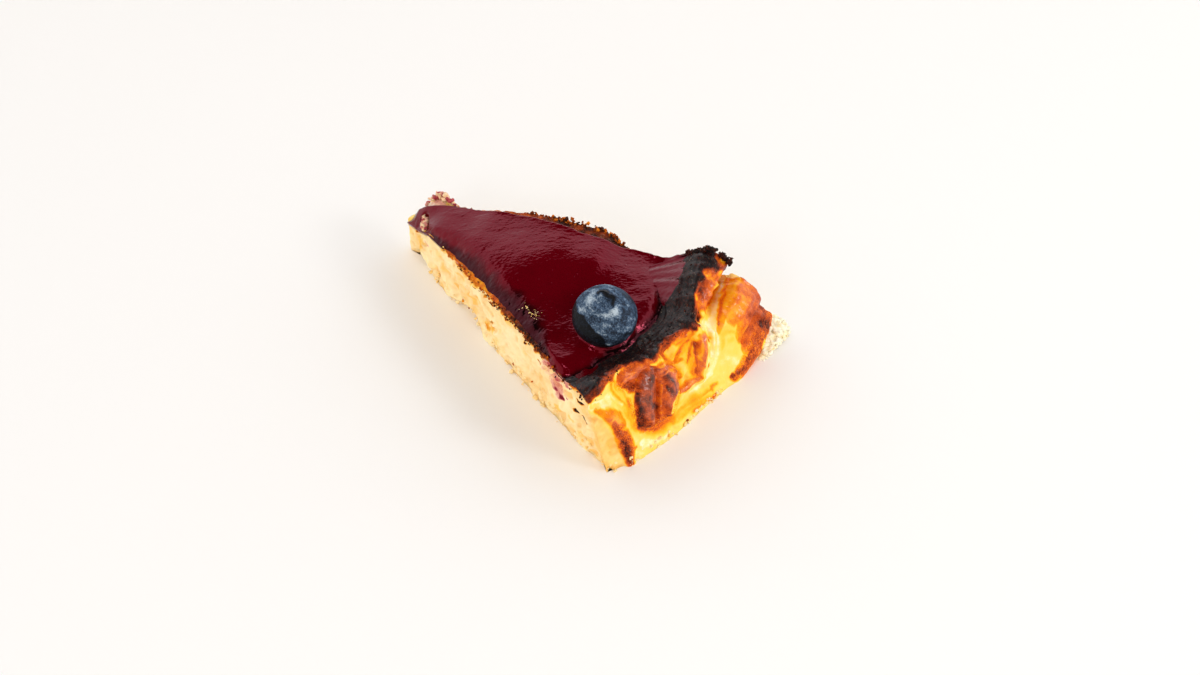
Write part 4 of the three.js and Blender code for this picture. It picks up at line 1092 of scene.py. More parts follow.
def roughen(points, fields, flat_rows):
    """Fine relief along the surface's normals: curds, pits and drag marks on the cuts, small dents
    and pores on the crust, and cracked flakes where it is charred. Keeps how deep each point lies,
    for the painted shade in the cut's hollows."""
    cut = np.clip(fields["cut"], 0, 1)
    tone = fields["tone"]
    stretched = points * [1, 1, 1.25]
    curds = 0.42 * (0.5 - lumps(stretched, 2.2, 101)) + 0.2 * layered(points, 1.3, 103)
    pits = -0.5 * step(0.35, 0.75, noise(stretched, 3.6, 107))
    pits = pits - 0.4 * step(0.42, 0.7, noise(points, 1.5, 109))
    crumbly = 0.5 * noise(points * [1, 1, 0.7], 7.0, 111) + curds + pits
    dents = 0.22 * layered(points, 3.6, 127) + 0.05 * noise(points, 0.9, 131)
    dents = dents + 0.12 * layered(points, 1.3, 135) * step(0.4, 0.6, tone)
    pores = -0.3 * step(0.2, 0.6, noise(points, 0.8, 133)) * fields["freckle"]
    r, a = polar(points)
    along_rim = np.stack([r / 0.9, np.radians(a) * CRUST_RADIUS / 3.4, points[..., 2] / 2.6], -1)
    flakes = 0.22 * noise(along_rim, 1, 143) + 0.12 * noise(2.1 * along_rim, 1, 145)
    flakes = flakes + 0.24 * (0.5 - lumps(points * [1, 1, 1.4], 1.9, 137)) + 0.16 * layered(points, 0.9, 139)
    relief = mix(mix(dents + pores, flakes, step(0.84, 0.98, tone)), crumbly, cut)
    foot = 1 - step(0, 2.4, points[..., 2])
    relief = relief - foot * (0.4 + 0.8 * noise(points * [1, 1, 0.3], 2.6, 149)) * mix(0.4, 1.0, cut)
    relief[-(INNER_RINGS + 4):] = -SUNK
    on_top = np.arange(len(points)) > len(points) - BAND_RINGS - INNER_RINGS
    glazed = step(-0.3, 0.6, glaze_cover(points, r, a)[0]) * on_top[:, None]
    relief = mix(relief, -0.3, glazed)
    # The depth of the hollows is kept for the painted shade in them
    fields["pit"] = np.clip(0.5 - 0.9 * relief, 0, 1)
    rough = points + normals(points) * relief[..., None]
    rough[..., 2] = np.maximum(rough[..., 2], 0)
    foot_ring = rough[flat_rows - 1]
    foot_ring[:, 2] = 0
    rough[:flat_rows - 1] = mix(foot_ring, MIDDLE, UNDER_SHARES[:-1, None, None])
    return rough


def build_cake():
    points, fields, flat_rows = cake_surface()
    points = roughen(points, fields, flat_rows)
    high = place(MIDDLE_RADIUS, 0, top_height(MIDDLE_RADIUS, 0.0) - SUNK)
    everything = np.concatenate([points.reshape(-1, 3), [MIDDLE, high]])
    fields = {key: np.append(value.ravel(), [0, 1]) for key, value in fields.items()}
    piece = new_piece("cheesecake_crumb_and_crust", everything, ring_faces(*points.shape[:2]),
                      cake_material(), fields)
    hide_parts("cheesecake")


def glaze_cover(points, r, a):
    """Distances in millimetres inside the glaze's ragged border, below 0 outside it, and the share
    of its full thickness there: rounded off over a width that is different at each side."""
    ragged = 0.35 * layered(points, 2.8, 201, 2) + 0.1 * noise(points, 1.1, 205)
    near = r * np.sin(np.radians(HALF_ANGLE + a)) - GLAZE_NEAR_INSET(r) + ragged
    far = r * np.sin(np.radians(HALF_ANGLE - a)) - GLAZE_FAR_INSET(r) + ragged
    outer = GLAZE_OUTER(a) + GLAZE_LOBES * np.sin(a * 1.9) - r + 0.5 * ragged
    point = r - GLAZE_POINT_RADIUS + 0.6 + ragged
    start, end = (place(*end, 0.0)[:2] for end in BARE_CHIP)
    run = end - start
    along = np.clip(((points[..., :2] - start) @ run) / (run @ run), 0, 1)
    from_chip = np.linalg.norm(points[..., :2] - start - along[..., None] * run, axis=-1)
    chip = from_chip - BARE_CHIP_WIDTH * (1.2 - 0.6 * along) + ragged
    thick = np.ones_like(r)
    widths = (GLAZE_ROUNDED_NEAR(r), GLAZE_ROUNDED_FAR, GLAZE_ROUNDED_OUTER(a), 2.0, 1.0)
    borders = (near, far, outer, point, chip)
    for border, width in zip(borders, widths):
        t = np.clip(border / width, 0, 1)
        thick = thick * t * (2 - t)
    return np.minimum.reduce(borders), thick, near, outer


def build_glaze(settings):
    """A patch on rings of radius and angle: the cake's top plus a thickness that is rounded off at
    its border, faint ripples, and a lip that climbs the berry. Its border goes down into the cake."""
    share = np.linspace(0, 1, GLAZE_ROWS)[:, None]
    r = mix(GLAZE_POINT_RADIUS - 1.6, GLAZE_OUTER(0) + 3.0, share)
    near_side = np.degrees(np.maximum(GLAZE_NEAR_INSET(r) - 0.6, -0.35) / r) - HALF_ANGLE
    a = mix(near_side, HALF_ANGLE, np.linspace(0, 1, GLAZE_COLUMNS)[None])
    r, a = np.broadcast_arrays(r, a)
    points = place(r, a, top_height(r, a))
    inside, full, near, outer = glaze_cover(points, r, a)
    thick = (GLAZE_THICKNESS + GLAZE_GAP) * full
    thick = np.where(inside < 0, -GLAZE_EDGE_DROP * step(0, -1.4, inside), thick)
    run, rise = math.radians(WAVES_RUN), points[..., :2] - CAKE_CENTRE
    across, along = rise @ [math.cos(run), math.sin(run)], rise @ [-math.sin(run), math.cos(run)]
    waves = np.stack([across, along / WAVES_STRETCH, 0 * r], -1)
    ripple = sum(height * noise(waves, size, seed) for height, size, seed in RIPPLES)
    along_rim = np.stack([r, np.radians(a) * r / 1.8, 0 * r], -1)
    rim_ripple = 0.1 * noise(points, 4.2, 235) + 0.06 * noise(along_rim, 2.0, 231)
    rim_ripple = rim_ripple + 0.016 * noise(points, 1.1, 233)
    ripple = ripple * mix(0.35, 1, step(3, 12, outer)) + rim_ripple * bell(outer, 8.5, 6.5)
    thin = 1 - step(0.2, 1.35, near / np.maximum(THIN_WIDTH(r), 0.05) + 0.4 * layered(points, 3.5, 219, 2))
    thin = thin * step(0.2, 0.8, THIN_WIDTH(r))
    cracks = 1 - step(0, 0.16, np.abs(noise(points, 2.8, 239)))
    crinkled = (0.3 * noise(points, 3.4, 223) + 0.07 * noise(points, 1.5, 227) - 0.12 * cracks) * thin
    dips = 0 * r
    for dip in GLAZE_DIPS:
        away = np.linalg.norm(points[..., :2] - place(dip.radius, dip.angle, 0.0)[:2], axis=-1)
        dips = dips + dip.depth * np.exp(-((away / dip.spread) ** 2) / 2)
    thick = thick + (ripple + crinkled - dips) * step(0, 2, inside)
    beside_rim = outer / GLAZE_THIN_OUTER(a) + 0.3 * layered(points, 2.0, 229)
    thin = np.maximum(thin, 1 - step(0.0, 1.0, beside_rim))
    centre = place(BERRY.r, BERRY.a, 0.0)
    from_berry = np.hypot(points[..., 0] - centre[0], points[..., 1] - centre[1])
    lip = LIP_HEIGHT * np.exp(-np.maximum(from_berry - LIP_RADIUS, 0) / LIP_FADE)
    points[..., 2] += thick + lip

    rows, columns = r.shape
    grid = np.arange(rows * columns).reshape(rows, columns)
    quads = np.stack([grid[:-1, :-1], grid[1:, :-1], grid[1:, 1:], grid[:-1, 1:]], -1).reshape(-1, 4)
    loop = np.concatenate([grid[:-1, 0], grid[-1, :-1], grid[:0:-1, -1], grid[0, :0:-1]])
    border = points.reshape(-1, 3)[loop]
    skirt = np.stack([border + (MIDDLE - border) * s for s in (0.015, 0.5)])
    skirt_r, skirt_a = polar(skirt)
    skirt[..., 2] = top_height(skirt_r, skirt_a) - GLAZE_ROOT
    flat = points.reshape(-1, 3)
    ring = np.arange(len(loop))
    after = (ring + 1) % len(loop)
    first = len(flat) + ring, len(flat) + after
    second = first[0] + len(loop), first[1] + len(loop)
    last = len(flat) + 2 * len(loop)
    sides = np.concatenate([
        np.stack([loop[after], loop[ring], first[0], first[1]], -1),
        np.stack([first[1], first[0], second[0], second[1]], -1),
    ])
    cap = np.stack([second[1], second[0], np.full(len(loop), last)], -1)
    under = place(MIDDLE_RADIUS, 0, top_height(MIDDLE_RADIUS, 0.0) - GLAZE_ROOT)
    everything = np.concatenate([flat, skirt.reshape(-1, 3), [under]])
    fields = {"thin": np.concatenate([thin.ravel(), np.zeros(2 * len(loop) + 1)])}
    piece = new_piece("glossy_berry_glaze", everything, [quads, sides, cap], glaze_material(settings), fields)
    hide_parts("berry_glaze")


def build_berry(settings):
    """An oblate ball of turn and tilt, leaning a little, with a low five-pointed crown round a
    shallow dish, dents in its skin, and bloom that is rubbed off one side. The bloom value also
    carries painted light and shade: it is raised on the side towards the window, and lowered in a
    crescent of the dish and in a notch beside the crown."""
    turn = np.linspace(0, 2 * np.pi, BERRY_COLUMNS, endpoint=False)[None]
    t = np.linspace(0, 1, BERRY_ROWS)[1:-1, None]
    tilt = np.pi * (t - 0.5) + 0.16 * np.sin(2 * np.pi * t) * step(0.5, 1, t)
    out = np.cos(tilt)
    ball = np.stack(np.broadcast_arrays(out * np.cos(turn), out * np.sin(turn), np.sin(tilt)), -1)
    from_pole = out * BERRY.half_width + 0 * turn
    crown_radius = CROWN.radius * (1 + CROWN.pointed * np.cos(CROWN.points * turn + 0.6 * np.sin(turn)))
    upper = (np.sin(tilt) > 0).astype(float)
    flare = 1 + 0.4 * np.cos(CROWN.points * turn) + 0.25 * np.sin(3 * turn + 1)
    ridge = upper * CROWN.height * flare * bell(from_pole, crown_radius, CROWN.width)
    dish = upper * CROWN.hollow * (1 - step(0.4 * crown_radius, 0.97 * crown_radius, from_pole))
    ribs = upper * 0.12 * np.sin(from_pole * 4.2) * (1 - step(0.5, 0.8, from_pole / crown_radius))
    size = np.array([BERRY.half_width, BERRY.half_width, BERRY.half_height])
    dents = 0.16 * layered(ball * 9, 4.0, 301) + 0.04 * noise(ball * 9, 0.8, 305)
    points = ball * (size + dents[..., None])
    points[..., 2] += ridge - dish + ribs
    caps = np.array([[0, 0, -BERRY.half_height], [0, 0, BERRY.half_height - CROWN.hollow]])
    lean = Matrix.Rotation(math.radians(BERRY.lean_x), 3, "Y")
    lean = lean @ Matrix.Rotation(math.radians(-BERRY.lean_y), 3, "X")
    middle = place(BERRY.r, BERRY.a, top_height(BERRY.r, BERRY.a) + BERRY.middle)
    everything = np.concatenate([points.reshape(-1, 3), caps]) @ np.array(lean).T + middle
    everything[:, 2] = np.maximum(everything[:, 2], top_height(*polar(everything)) + GLAZE_GAP)

    rubbed = ball @ (RUBBED_SIDE / np.linalg.norm(RUBBED_SIDE)) + 0.16 * layered(ball * 9, 5.0, 311)
    streaks = layered(np.stack([ball[..., 0] * 3, ball[..., 1] * 9, ball[..., 2] * 9], -1), 1.6, 317)
    # Painted light: the bloom is made paler on the side towards the window
    painted_window_light = ball @ PAINTED_LIT_SIDE
    bloom = 0.4 + 0.48 * streaks + 0.2 * painted_window_light - 0.9 * step(0.38, 0.43, rubbed)
    halo = bell(from_pole, 1.25 * CROWN.radius, 0.9) * upper * step(-0.5, 0.6, np.cos(turn + 1.0))
    bloom = bloom + 0.34 * halo
    # Painted shade: a dark crescent inside the crown's dish on one side, where its wall shades it
    painted_crescent_shade = 0.8 * upper * bell(from_pole, 0.8 * crown_radius, 0.4)
    bloom = bloom - painted_crescent_shade * step(0.1, 0.9, np.cos(turn - 1.2))
    # Painted shade: a dark notch in the gap between two sepals, just outside the crown
    painted_notch_shade = 0.9 * upper * bell(from_pole, 1.05 * crown_radius, 0.6)
    bloom = bloom - painted_notch_shade * step(0.8, 0.95, np.cos(turn - 2.4))
    fields = {"bloom": np.append(np.clip(bloom, 0, 1).ravel(), [0.5, 0.4])}
    piece = new_piece("bloomed_blueberry", everything, ring_faces(*bloom.shape),
                      berry_material(settings), fields)
    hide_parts("blueberry")


def crumb_form():
    """A small ball of 18 points and 32 faces: an octahedron with each face split into four."""
    tips = [(1, 0, 0), (-1, 0, 0), (0, 1, 0), (0, -1, 0), (0, 0, 1), (0, 0, -1)]
    faces = [(x, y, z) for x in (0, 1) for y in (2, 3) for z in (4, 5)]
    points = [Vector(tip) for tip in tips]
    middles = {}
    split = []
    for face in faces:
        if (points[face[0]].cross(points[face[1]])).dot(points[face[2]]) < 0:
            face = (face[0], face[2], face[1])
        between_tips = []
        for first, second in zip(face, face[1:] + face[:1]):
            key = frozenset((first, second))
            if key not in middles:
                middles[key] = len(points)
                points.append((points[first] + points[second]).normalized())
            between_tips.append(middles[key])
        one, two, three = between_tips
        split += [(face[0], one, three), (face[1], two, one), (face[2], three, two), (one, two, three)]
    return np.array([list(p) for p in points]), np.array(split)


def build_crumbs(name, centres, sizes, baked, seed, stretch=1.0, rough=0.38, cut=1.0, stain=0.0):
    """Many small lumps in one piece: each is a ball of its own size and turn, with every point moved
    in or out at random, and one tone. Sizes are half widths in millimetres."""
    draw = np.random.default_rng(seed)
    ball, faces = crumb_form()
    count = len(centres)
    axes = np.linalg.qr(draw.normal(size=(count, 3, 3)))[0]
    shape = sizes[:, None] * draw.uniform(0.6, 1.25, (count, 3)) * np.array([1, 1, 1 / stretch])
    swollen = ball * (1 + rough * draw.uniform(-1, 1, (count, len(ball), 1)))
    points = np.einsum("nij,nkj->nki", axes, swollen * shape[:, None]) + centres[:, None]
    points[..., 2] = np.maximum(points[..., 2], 0)
    numbered = faces + len(ball) * np.arange(count)[:, None, None]
    fields = {
        "tone": np.repeat(baked, len(ball)),
        "cut": np.full(count * len(ball), cut),
        "stain": np.repeat(np.broadcast_to(stain, count), len(ball)),
    }
    material = bpy.data.materials["crumb_and_crust"]
    piece = new_piece(name, points.reshape(-1, 3), [numbered.reshape(-1, 3)], material, fields)


def along_cut(side, r, down, out):
    """Points beside a cut's top edge: down from it and out from the cut, in millimetres."""
    a = side * HALF_ANGLE
    share = np.ones_like(r)
    along = (r - POINT_RADIUS) / (RIM_RADIUS(a) - POINT_RADIUS)
    points = cut_point(side, along, share)
    turn = math.radians(a)
    points = points + np.outer(out * side, [-math.sin(turn), math.cos(turn), 0])
    points[:, 2] -= down
    return points


CrumbRow = namedtuple("CrumbRow", "side start end count down out small large pale dark")
CRUMB_ROWS = [CrumbRow(*row) for row in (
    (1, 20, 27, 16, (-0.6, 0.6), (-0.6, 0.5), 0.25, 0.75, 0.4, 0.8),
    (1, 44, 52, 18, (-0.4, 0.5), (-0.4, 0.5), 0.25, 0.6, 0.6, 0.85),
    (1, 52, 79, 150, (-0.7, 0.8), (-1, 0.6), 0.25, 0.85, 0.48, 0.92),
    (-1, 27, 38, 26, (-0.5, 1.6), (-0.5, 0.3), 0.2, 0.55, 0.15, 0.55),
    (-1, 36, 58, 60, (-0.6, 2.4), (-0.6, 0.3), 0.2, 0.6, 0.35, 0.9),
    (-1, 56, 84, 120, (-0.5, 2.2), (-0.7, 0.3), 0.2, 0.6, 0.6, 1),
    (-1, 84, 106, 50, (-0.4, 2.4), (-0.6, 0.3), 0.2, 0.5, 0.5, 1),
)]


def build_edge_crumbs():
    """Toasted crumbs strewn along the top edges of both cuts, in rows with limits for their places,
    sizes and tones."""
    draw = np.random.default_rng(7)
    centres, sizes, baked = [], [], []
    for row in CRUMB_ROWS:
        r = draw.uniform(row.start, row.end, row.count)
        down = draw.uniform(*row.down, row.count)
        out = draw.uniform(*row.out, row.count)
        centres.append(along_cut(row.side, r, down, out))
        sizes.append(row.small + (row.large - row.small) * draw.uniform(0, 1, row.count) ** 2)
        baked.append(draw.uniform(row.pale, row.dark, row.count))
    everything = (np.concatenate(part) for part in (centres, sizes, baked))
    build_crumbs("toasted_edge_crumbs", *everything, 8)


# Charred crests at the far end of the rim: radius and height of both ends, and how many flakes
CRESTS = (
    (96.5, 100, 27.9, 30.6, 40), (100, 103.4, 30.6, 32.2, 60), (103.2, 105.2, 33, 32.5, 50),
    (104.4, 105.6, 33.6, 32.6, 16), (107.4, 108.9, 31.2, 30.7, 45), (108.9, 110.6, 30.4, 28, 50),
    (109.2, 110.8, 30.2, 29.6, 14),
)
STREWN_FLAKES = 240


def build_char_flakes():
    """Ragged charred flakes piled into crests at the far end of the rim, and flakes strewn over it."""
    draw = np.random.default_rng(17)
    piled = []
    for start_r, end_r, start_z, end_z, count in CRESTS:
        share = draw.uniform(0, 1, count)
        crest = place(mix(start_r, end_r, share), HALF_ANGLE - 0.1, mix(start_z, end_z, share) - 0.3)
        piled.append(crest + draw.normal(0, 0.28, crest.shape))
    a = draw.uniform(-17, 17, STREWN_FLAKES)
    strewn_r = RIM_RADIUS(a) + draw.uniform(-7, 1.5, STREWN_FLAKES)
    strewn = place(strewn_r, a, top_height(np.minimum(strewn_r, RIM_RADIUS(a)), a) + 0.1)
    centres = np.concatenate([*piled, strewn])
    large = draw.uniform(0.25, 0.75, len(centres) - STREWN_FLAKES)
    sizes = np.concatenate([large, draw.uniform(0.1, 0.32, STREWN_FLAKES)])
    baked = draw.uniform(0.93, 1.0, len(centres))
    build_crumbs("charred_rim_flakes", centres, sizes, baked, 18, stretch=1.8, rough=0.5, cut=0.0)


def build_foot_crumbs():
    """Cream crumbs that cling to the foot of the near cut and of the crust, and lie just beside it."""
    draw = np.random.default_rng(27)
    near_count, crust_count = 220, 90
    near = cut_point(-1, draw.uniform(0.02, 1, near_count), draw.uniform(0, 0.22, near_count))
    a = draw.uniform(-HALF_ANGLE, 6, crust_count)
    r, z = wall_point(a, draw.uniform(0, 0.1, crust_count))
    centres = np.concatenate([near, place(r, a, z)])
    centres[:, :2] += draw.normal(0, 0.25, (len(centres), 2))
    sizes = 0.15 + 0.65 * draw.uniform(0, 1, len(centres)) ** 2.5
    toasted = draw.uniform(0, 1, len(centres)) < 0.05
    baked = np.where(toasted, draw.uniform(0.3, 0.7, len(centres)), draw.uniform(0.0, 0.1, len(centres)))
    build_crumbs("cream_foot_crumbs", centres, sizes, baked, 28)


# The squeezed-out heap: radius and angle of its middle, half its length and width, its height and
# the number of lumps
SPILL_MIDDLE = (123.6, 17.2)
SPILL_SPREAD = (6.6, 9.6)
SPILL_HEIGHT = 4.2
SPILL_LUMPS = 1300


def build_spill():
    """Soft crumb squeezed out at the foot of the far corner: lumps over an oval heap, highest in its
    middle, and smaller towards its edge."""
    draw = np.random.default_rng(37)
    count = SPILL_LUMPS
    away = np.sqrt(draw.uniform(0, 1, count))
    turn = draw.uniform(0, 2 * np.pi, count)
    across = math.radians(SPILL_MIDDLE[1])
    forward, sideways = SPILL_SPREAD[0] * away * np.cos(turn), SPILL_SPREAD[1] * away * np.sin(turn)
    centres = np.repeat(place(*SPILL_MIDDLE, 0.0)[None], count, 0)
    centres[:, 0] += forward * math.cos(across) - sideways * math.sin(across)
    centres[:, 1] += forward * math.sin(across) + sideways * math.cos(across)
    centres[:, 2] = SPILL_HEIGHT * (1 - away**2) ** 0.8 * draw.uniform(0.5, 1, count)
    sizes = (0.5 + 0.8 * draw.uniform(0, 1, count) ** 2) * (1 - 0.6 * away**3)
    mound = (away < 0.62) & (np.arange(count) % 6 == 0)
    sizes[mound] *= 2.6
    centres[mound, 2] *= 0.45
    low, high = (np.array(side) / MM for side in CAD_BOX)
    room = np.maximum(sizes, 0.6)[:, None]
    fits = ((centres[:, :2] > low[:2] + room) & (centres[:, :2] < high[:2] - room)).all(1)
    baked = draw.uniform(0, 0.015, fits.sum())
    build_crumbs("squeezed_out_crumb", centres[fits], sizes[fits], baked, 38, cut=0.3)


def build_point_crumbs():
    """Pale crumb with berry juice in it: a short ridge that breaks through the glaze by the point,
    and ragged lumps on the crumb smeared over the far cut."""
    draw = np.random.default_rng(57)
    count, smeared = 110, 190
    start, end = (np.array(pair) for pair in BARE_CHIP)
    r, a = (start + (end - start) * draw.uniform(0, 1, (count, 1))).T
    ridge = place(r, a, top_height(r, a) + draw.uniform(0.2, 1.7, count))
    ridge[:, :2] += draw.normal(0, 0.45, (count, 2))
    share = np.minimum(draw.uniform(0.68, 1.4, smeared), 1)
    length = RIM_RADIUS(HALF_ANGLE) - POINT_RADIUS
    along = (SMEAR.radius - POINT_RADIUS + draw.normal(0, 2.4, smeared)) / length
    lumps_on_cut = cut_point(1, np.clip(along, 0.01, 1), share) + draw.normal(0, 0.4, (smeared, 3))
    lumps_on_cut[share == 1, 2] += draw.uniform(-0.2, 0.9, (share == 1).sum())
    centres = np.concatenate([ridge, lumps_on_cut])
    sizes = 0.35 + 0.65 * draw.uniform(0, 1, len(centres)) ** 1.6
    stain = np.where(draw.uniform(0, 1, len(centres)) < 0.4, draw.uniform(0.35, 0.75, len(centres)), 0.25)
    build_crumbs("juicy_point_crumbs", centres, sizes, draw.uniform(0, 0.1, len(centres)), 58, stain=stain)


SPECKS_MIDDLE = (69.4, -13.4)


def build_specks():
    """A cluster of pale specks stuck to the glaze over the burnt edge, whose pale colour stands in for glints
    of light on them: painted highlights.
    """
    draw = np.random.default_rng(47)
    count = 46
    t = draw.uniform(-1, 1, count)
    middle_r, middle_a = SPECKS_MIDDLE
    r = middle_r + 3.0 * t + draw.normal(0, 0.6, count)
    a = middle_a + 0.5 * t + draw.normal(0, 0.65, count)
    centres = place(r, a, top_height(r, a) + GLAZE_THICKNESS + GLAZE_GAP)
    sizes = 0.09 + 0.17 * draw.uniform(0, 1, count) ** 1.5
    # Painted highlights: pale cream specks where small bumps of the glaze glint
    build_crumbs("pale_specks", centres, sizes, draw.uniform(0, 0.2, count), 48, stretch=1.5)


# The photograph's camera, as fitted: where it looks, from where, and its lens
LOOKS_AT = (12.5, 0.65, 0.0)
CAMERA_AZIMUTH = 39.2
CAMERA_ELEVATION = 49.197
CAMERA_ROLL = -1.7435
CAMERA_DISTANCE = 808.1
LENS = 77.967
SENSOR_WIDTH = 36


def add_camera():
    """A camera at an azimuth and elevation round the point it looks at, rolled about its own axis."""
    turn = Matrix.Rotation(math.radians(CAMERA_AZIMUTH), 4, "Z")
    tip = Matrix.Rotation(math.radians(90 - CAMERA_ELEVATION), 4, "X")
    roll = Matrix.Rotation(math.radians(CAMERA_ROLL), 4, "Z")
    away = Matrix.Translation((0, 0, CAMERA_DISTANCE * MM))
    camera = bpy.data.objects.new("camera", bpy.data.cameras.new("camera"))
    camera.data.lens = LENS
    camera.data.sensor_width = SENSOR_WIDTH
    camera.matrix_world = Matrix.Translation(Vector(LOOKS_AT) * MM) @ turn @ tip @ roll @ away
    bpy.context.scene.collection.objects.link(camera)
    bpy.context.scene.camera = camera


# Soft lights: degrees round from the camera, elevation, and distance, width and height in metres
Lamp = namedtuple("Lamp", "name round elevation distance width height colour")
LAMPS = (
    Lamp("overhead", 0, 82, 1.2, 0.3, 0.2, (1.0, 0.985, 0.97)),
    Lamp("side", 71, 30, 1.1, 0.3, 0.2, (1.0, 0.99, 0.98)),
    Lamp("front", -29, 37, 1.1, 0.24, 0.2, (1.0, 0.97, 0.98)),
)


def add_light(lamp, power):
    """A rectangular soft light that faces the slice."""
    data = bpy.data.lights.new(lamp.name, "AREA")
    data.shape = "RECTANGLE"
    data.size, data.size_y, data.energy, data.color = lamp.width, lamp.height, power, lamp.colour
    light = bpy.data.objects.new(lamp.name, data)
    turn = Matrix.Rotation(math.radians(CAMERA_AZIMUTH + lamp.round), 4, "Z")
    tip = Matrix.Rotation(math.radians(90 - lamp.elevation), 4, "X")
    light.matrix_world = turn @ tip @ Matrix.Translation((0, 0, lamp.distance))
    bpy.context.scene.collection.objects.link(light)


WARM_LIGHT = (1.0, 0.88, 0.74)
COOL_LIGHT = (0.99, 1.0, 1.02)
FLOOR_HALF = 3.0
DIMMEST_FLOOR = 0.97

# How far from the window's side the room's light starts and ends its change, as a cosine
SHADE_STARTS = -0.8
SHADE_ENDS = 0.6


def add_room(settings):
    """Soft light from all round up to a given height, and a dark ceiling."""
    world = bpy.data.worlds.new("room")
    bpy.context.scene.world = world
    world.use_nodes = True
    tree = world.node_tree
    direction = node(tree, "ShaderNodeTexCoord").outputs["Generated"]
    height = node(tree, "ShaderNodeSeparateXYZ", {0: direction}).outputs["Z"]
    edge = math.sin(math.radians(settings.ceiling_starts))
    below, above = edge - 0.03, edge + 0.06
    share = between(tree, height, below, above, settings.room_light, settings.ceiling_light)
    towards = math.radians(settings.window_azimuth)
    facing = node(tree, "ShaderNodeVectorMath", {0: direction, 1: (math.cos(towards), math.sin(towards), 0)},
                  operation="DOT_PRODUCT").outputs["Value"]
    far = between(tree, facing, SHADE_STARTS, SHADE_ENDS, 0.0, 1.0)
    dimmed = between(tree, facing, SHADE_STARTS, SHADE_ENDS, settings.far_side_dim, 1.0)
    share = maths(tree, "MULTIPLY", share, dimmed)
    background = tree.nodes["Background"]
    tree.links.new(blend_colours(tree, far, WARM_LIGHT, COOL_LIGHT), background.inputs["Color"])
    tree.links.new(share, background.inputs["Strength"])


def build_stage(settings):
    add_camera()
    add_room(settings)
    for lamp in LAMPS:
        add_light(lamp, getattr(settings, f"{lamp.name}_power"))
    mesh = bpy.data.meshes.new("floor")
    half = FLOOR_HALF
    corners = [(-half, -half, 0), (half, -half, 0), (half, half, 0), (-half, half, 0)]
    mesh.from_pydata(corners, [], [(0, 1, 2, 3)])
    material, tree, shader = new_material("pale_floor")
    cloudy = grouped(tree, mottle, value=0.5, coarse_size=60, coarse_strength=0.3, fine_size=4,
                     fine_strength=0.1)
    dim = tuple(DIMMEST_FLOOR * c for c in settings.floor_colour)
    colour = blend_colours(tree, cloudy, dim, tuple(settings.floor_colour))
    join(tree, shader, {"Base Color": colour, "Roughness": 0.6})
    mesh.materials.append(material)
    floor = bpy.data.objects.new("floor", mesh)
    bpy.context.scene.collection.objects.link(floor)
    bpy.context.scene.view_settings.view_transform = "Standard"


def colour_setting(name, description, *colour):
    return FloatVectorProperty(name=name, description=description, subtype="COLOR", size=3, min=0, max=1,
                               default=srgb(*colour))


def power_setting(name, description, watts):
    return FloatProperty(name=name, description=description, subtype="POWER", min=0, default=watts)


class GlazeSettings(bpy.types.PropertyGroup):
    colour: colour_setting("Colour", "Deep colour of the glaze", 101, 0, 13)
    thin_colour: colour_setting("Thin colour", "Colour where it is thin over burnt crust", 12, 4, 5)
    roughness: FloatProperty(name="Roughness", description="How blurred its reflections are",
                             subtype="FACTOR", min=0, max=1, default=0.06)


class BerrySettings(bpy.types.PropertyGroup):
    skin: colour_setting("Skin", "Colour of the rubbed skin", 14, 16, 20)
    bloom: colour_setting("Bloom", "Colour of the thickest bloom", 176, 192, 206)


class StageSettings(bpy.types.PropertyGroup):
    floor_colour: colour_setting("Floor", "Colour of the floor", 250, 250, 250)
    room_light: FloatProperty(name="Room light", description="Strength of the light from all round",
                              min=0, default=1.75)
    far_side_dim: FloatProperty(name="Front", description="Share of the room's light from the front",
                                subtype="FACTOR", min=0, max=1, default=0.7)
    window_azimuth: FloatProperty(name="Window side", description="Where round the slice it is lightest",
                                  min=-180, max=180, default=120)
    ceiling_light: FloatProperty(name="Ceiling light", description="Strength of the light from above",
                                 min=0, default=0.03)
    ceiling_starts: FloatProperty(name="Ceiling starts", description="Degrees above level where it begins",
                                  min=0, max=90, default=47)
    overhead_power: power_setting("Overhead", "Power of the soft light overhead", 1.5)
    side_power: power_setting("Side light", "Power of the soft light beside the crust", 2.2)
    front_power: power_setting("Front light", "Power of the small light before the crust", 0.8)


class CAKE_OT_stage(bpy.types.Operator):
    """Add the camera, the floor and the light"""
    bl_idname = "cake.stage"
    bl_label = "Stage"

    def execute(self, context):
        build_stage(context.scene.cake_stage)
        return {"FINISHED"}


class CAKE_OT_slice(bpy.types.Operator):
    """Make the slice itself, its crumb, crust and burnt rim"""
    bl_idname = "cake.slice"
    bl_label = "Slice"

    def execute(self, context):
        build_cake()
        return {"FINISHED"}


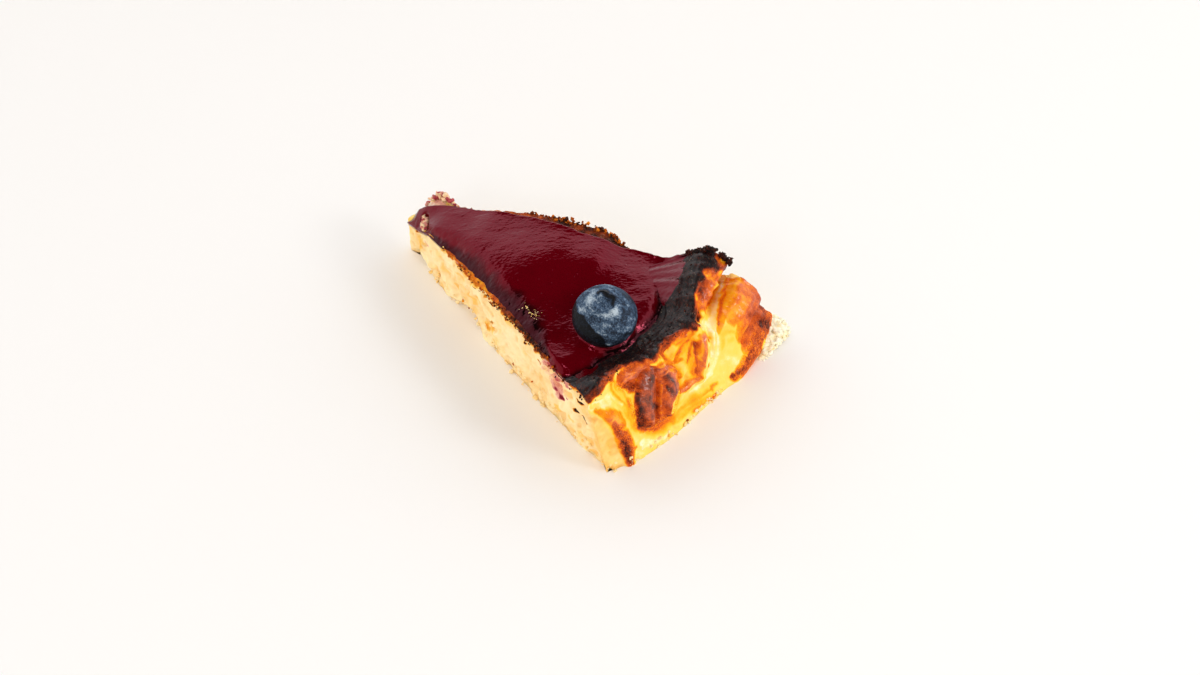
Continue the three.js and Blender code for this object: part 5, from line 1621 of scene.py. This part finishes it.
class CAKE_OT_glaze(bpy.types.Operator):
    """Pour the berry glaze over the top"""
    bl_idname = "cake.glaze"
    bl_label = "Glaze"

    def execute(self, context):
        build_glaze(context.scene.cake_glaze)
        return {"FINISHED"}


class CAKE_OT_berry(bpy.types.Operator):
    """Set the blueberry in the glaze"""
    bl_idname = "cake.berry"
    bl_label = "Blueberry"

    def execute(self, context):
        build_berry(context.scene.cake_berry)
        return {"FINISHED"}


class CAKE_OT_crumbs(bpy.types.Operator):
    """Strew crumbs on the edges, the rim, the foot and the glaze, where pale specks are painted highlights"""
    bl_idname = "cake.crumbs"
    bl_label = "Crumbs"

    def execute(self, context):
        build_edge_crumbs()
        build_char_flakes()
        build_foot_crumbs()
        build_spill()
        build_point_crumbs()
        build_specks()
        return {"FINISHED"}


class CAKE_PT_panel(bpy.types.Panel):
    """Lists the steps that dress the slice, and their sizes and colours"""
    bl_idname = "CAKE_PT_panel"
    bl_label = "Burnt cheesecake slice"
    bl_space_type = "VIEW_3D"
    bl_region_type = "UI"
    bl_category = "Cake"

    def draw(self, context):
        for operator, group in STEPS:
            self.layout.operator(operator.bl_idname)
            if group:
                settings = getattr(context.scene, group)
                for key in type(settings).__annotations__:
                    self.layout.prop(settings, key)


STEPS = (
    (CAKE_OT_stage, "cake_stage"),
    (CAKE_OT_slice, None),
    (CAKE_OT_glaze, "cake_glaze"),
    (CAKE_OT_berry, "cake_berry"),
    (CAKE_OT_crumbs, None),
)
GROUPS = {"cake_glaze": GlazeSettings, "cake_berry": BerrySettings, "cake_stage": StageSettings}
CLASSES = (*GROUPS.values(), *(operator for operator, group in STEPS), CAKE_PT_panel)


def register():
    for cls in CLASSES:
        bpy.utils.register_class(cls)
    for name, group in GROUPS.items():
        setattr(bpy.types.Scene, name, PointerProperty(type=group))


def unregister():
    for name in GROUPS:
        delattr(bpy.types.Scene, name)
    for cls in reversed(CLASSES):
        bpy.utils.unregister_class(cls)


def main():
    register()
    bpy.ops.cake.stage()
    bpy.ops.cake.slice()
    bpy.ops.cake.glaze()
    bpy.ops.cake.berry()
    bpy.ops.cake.crumbs()


if __name__ == "__main__":
    main()
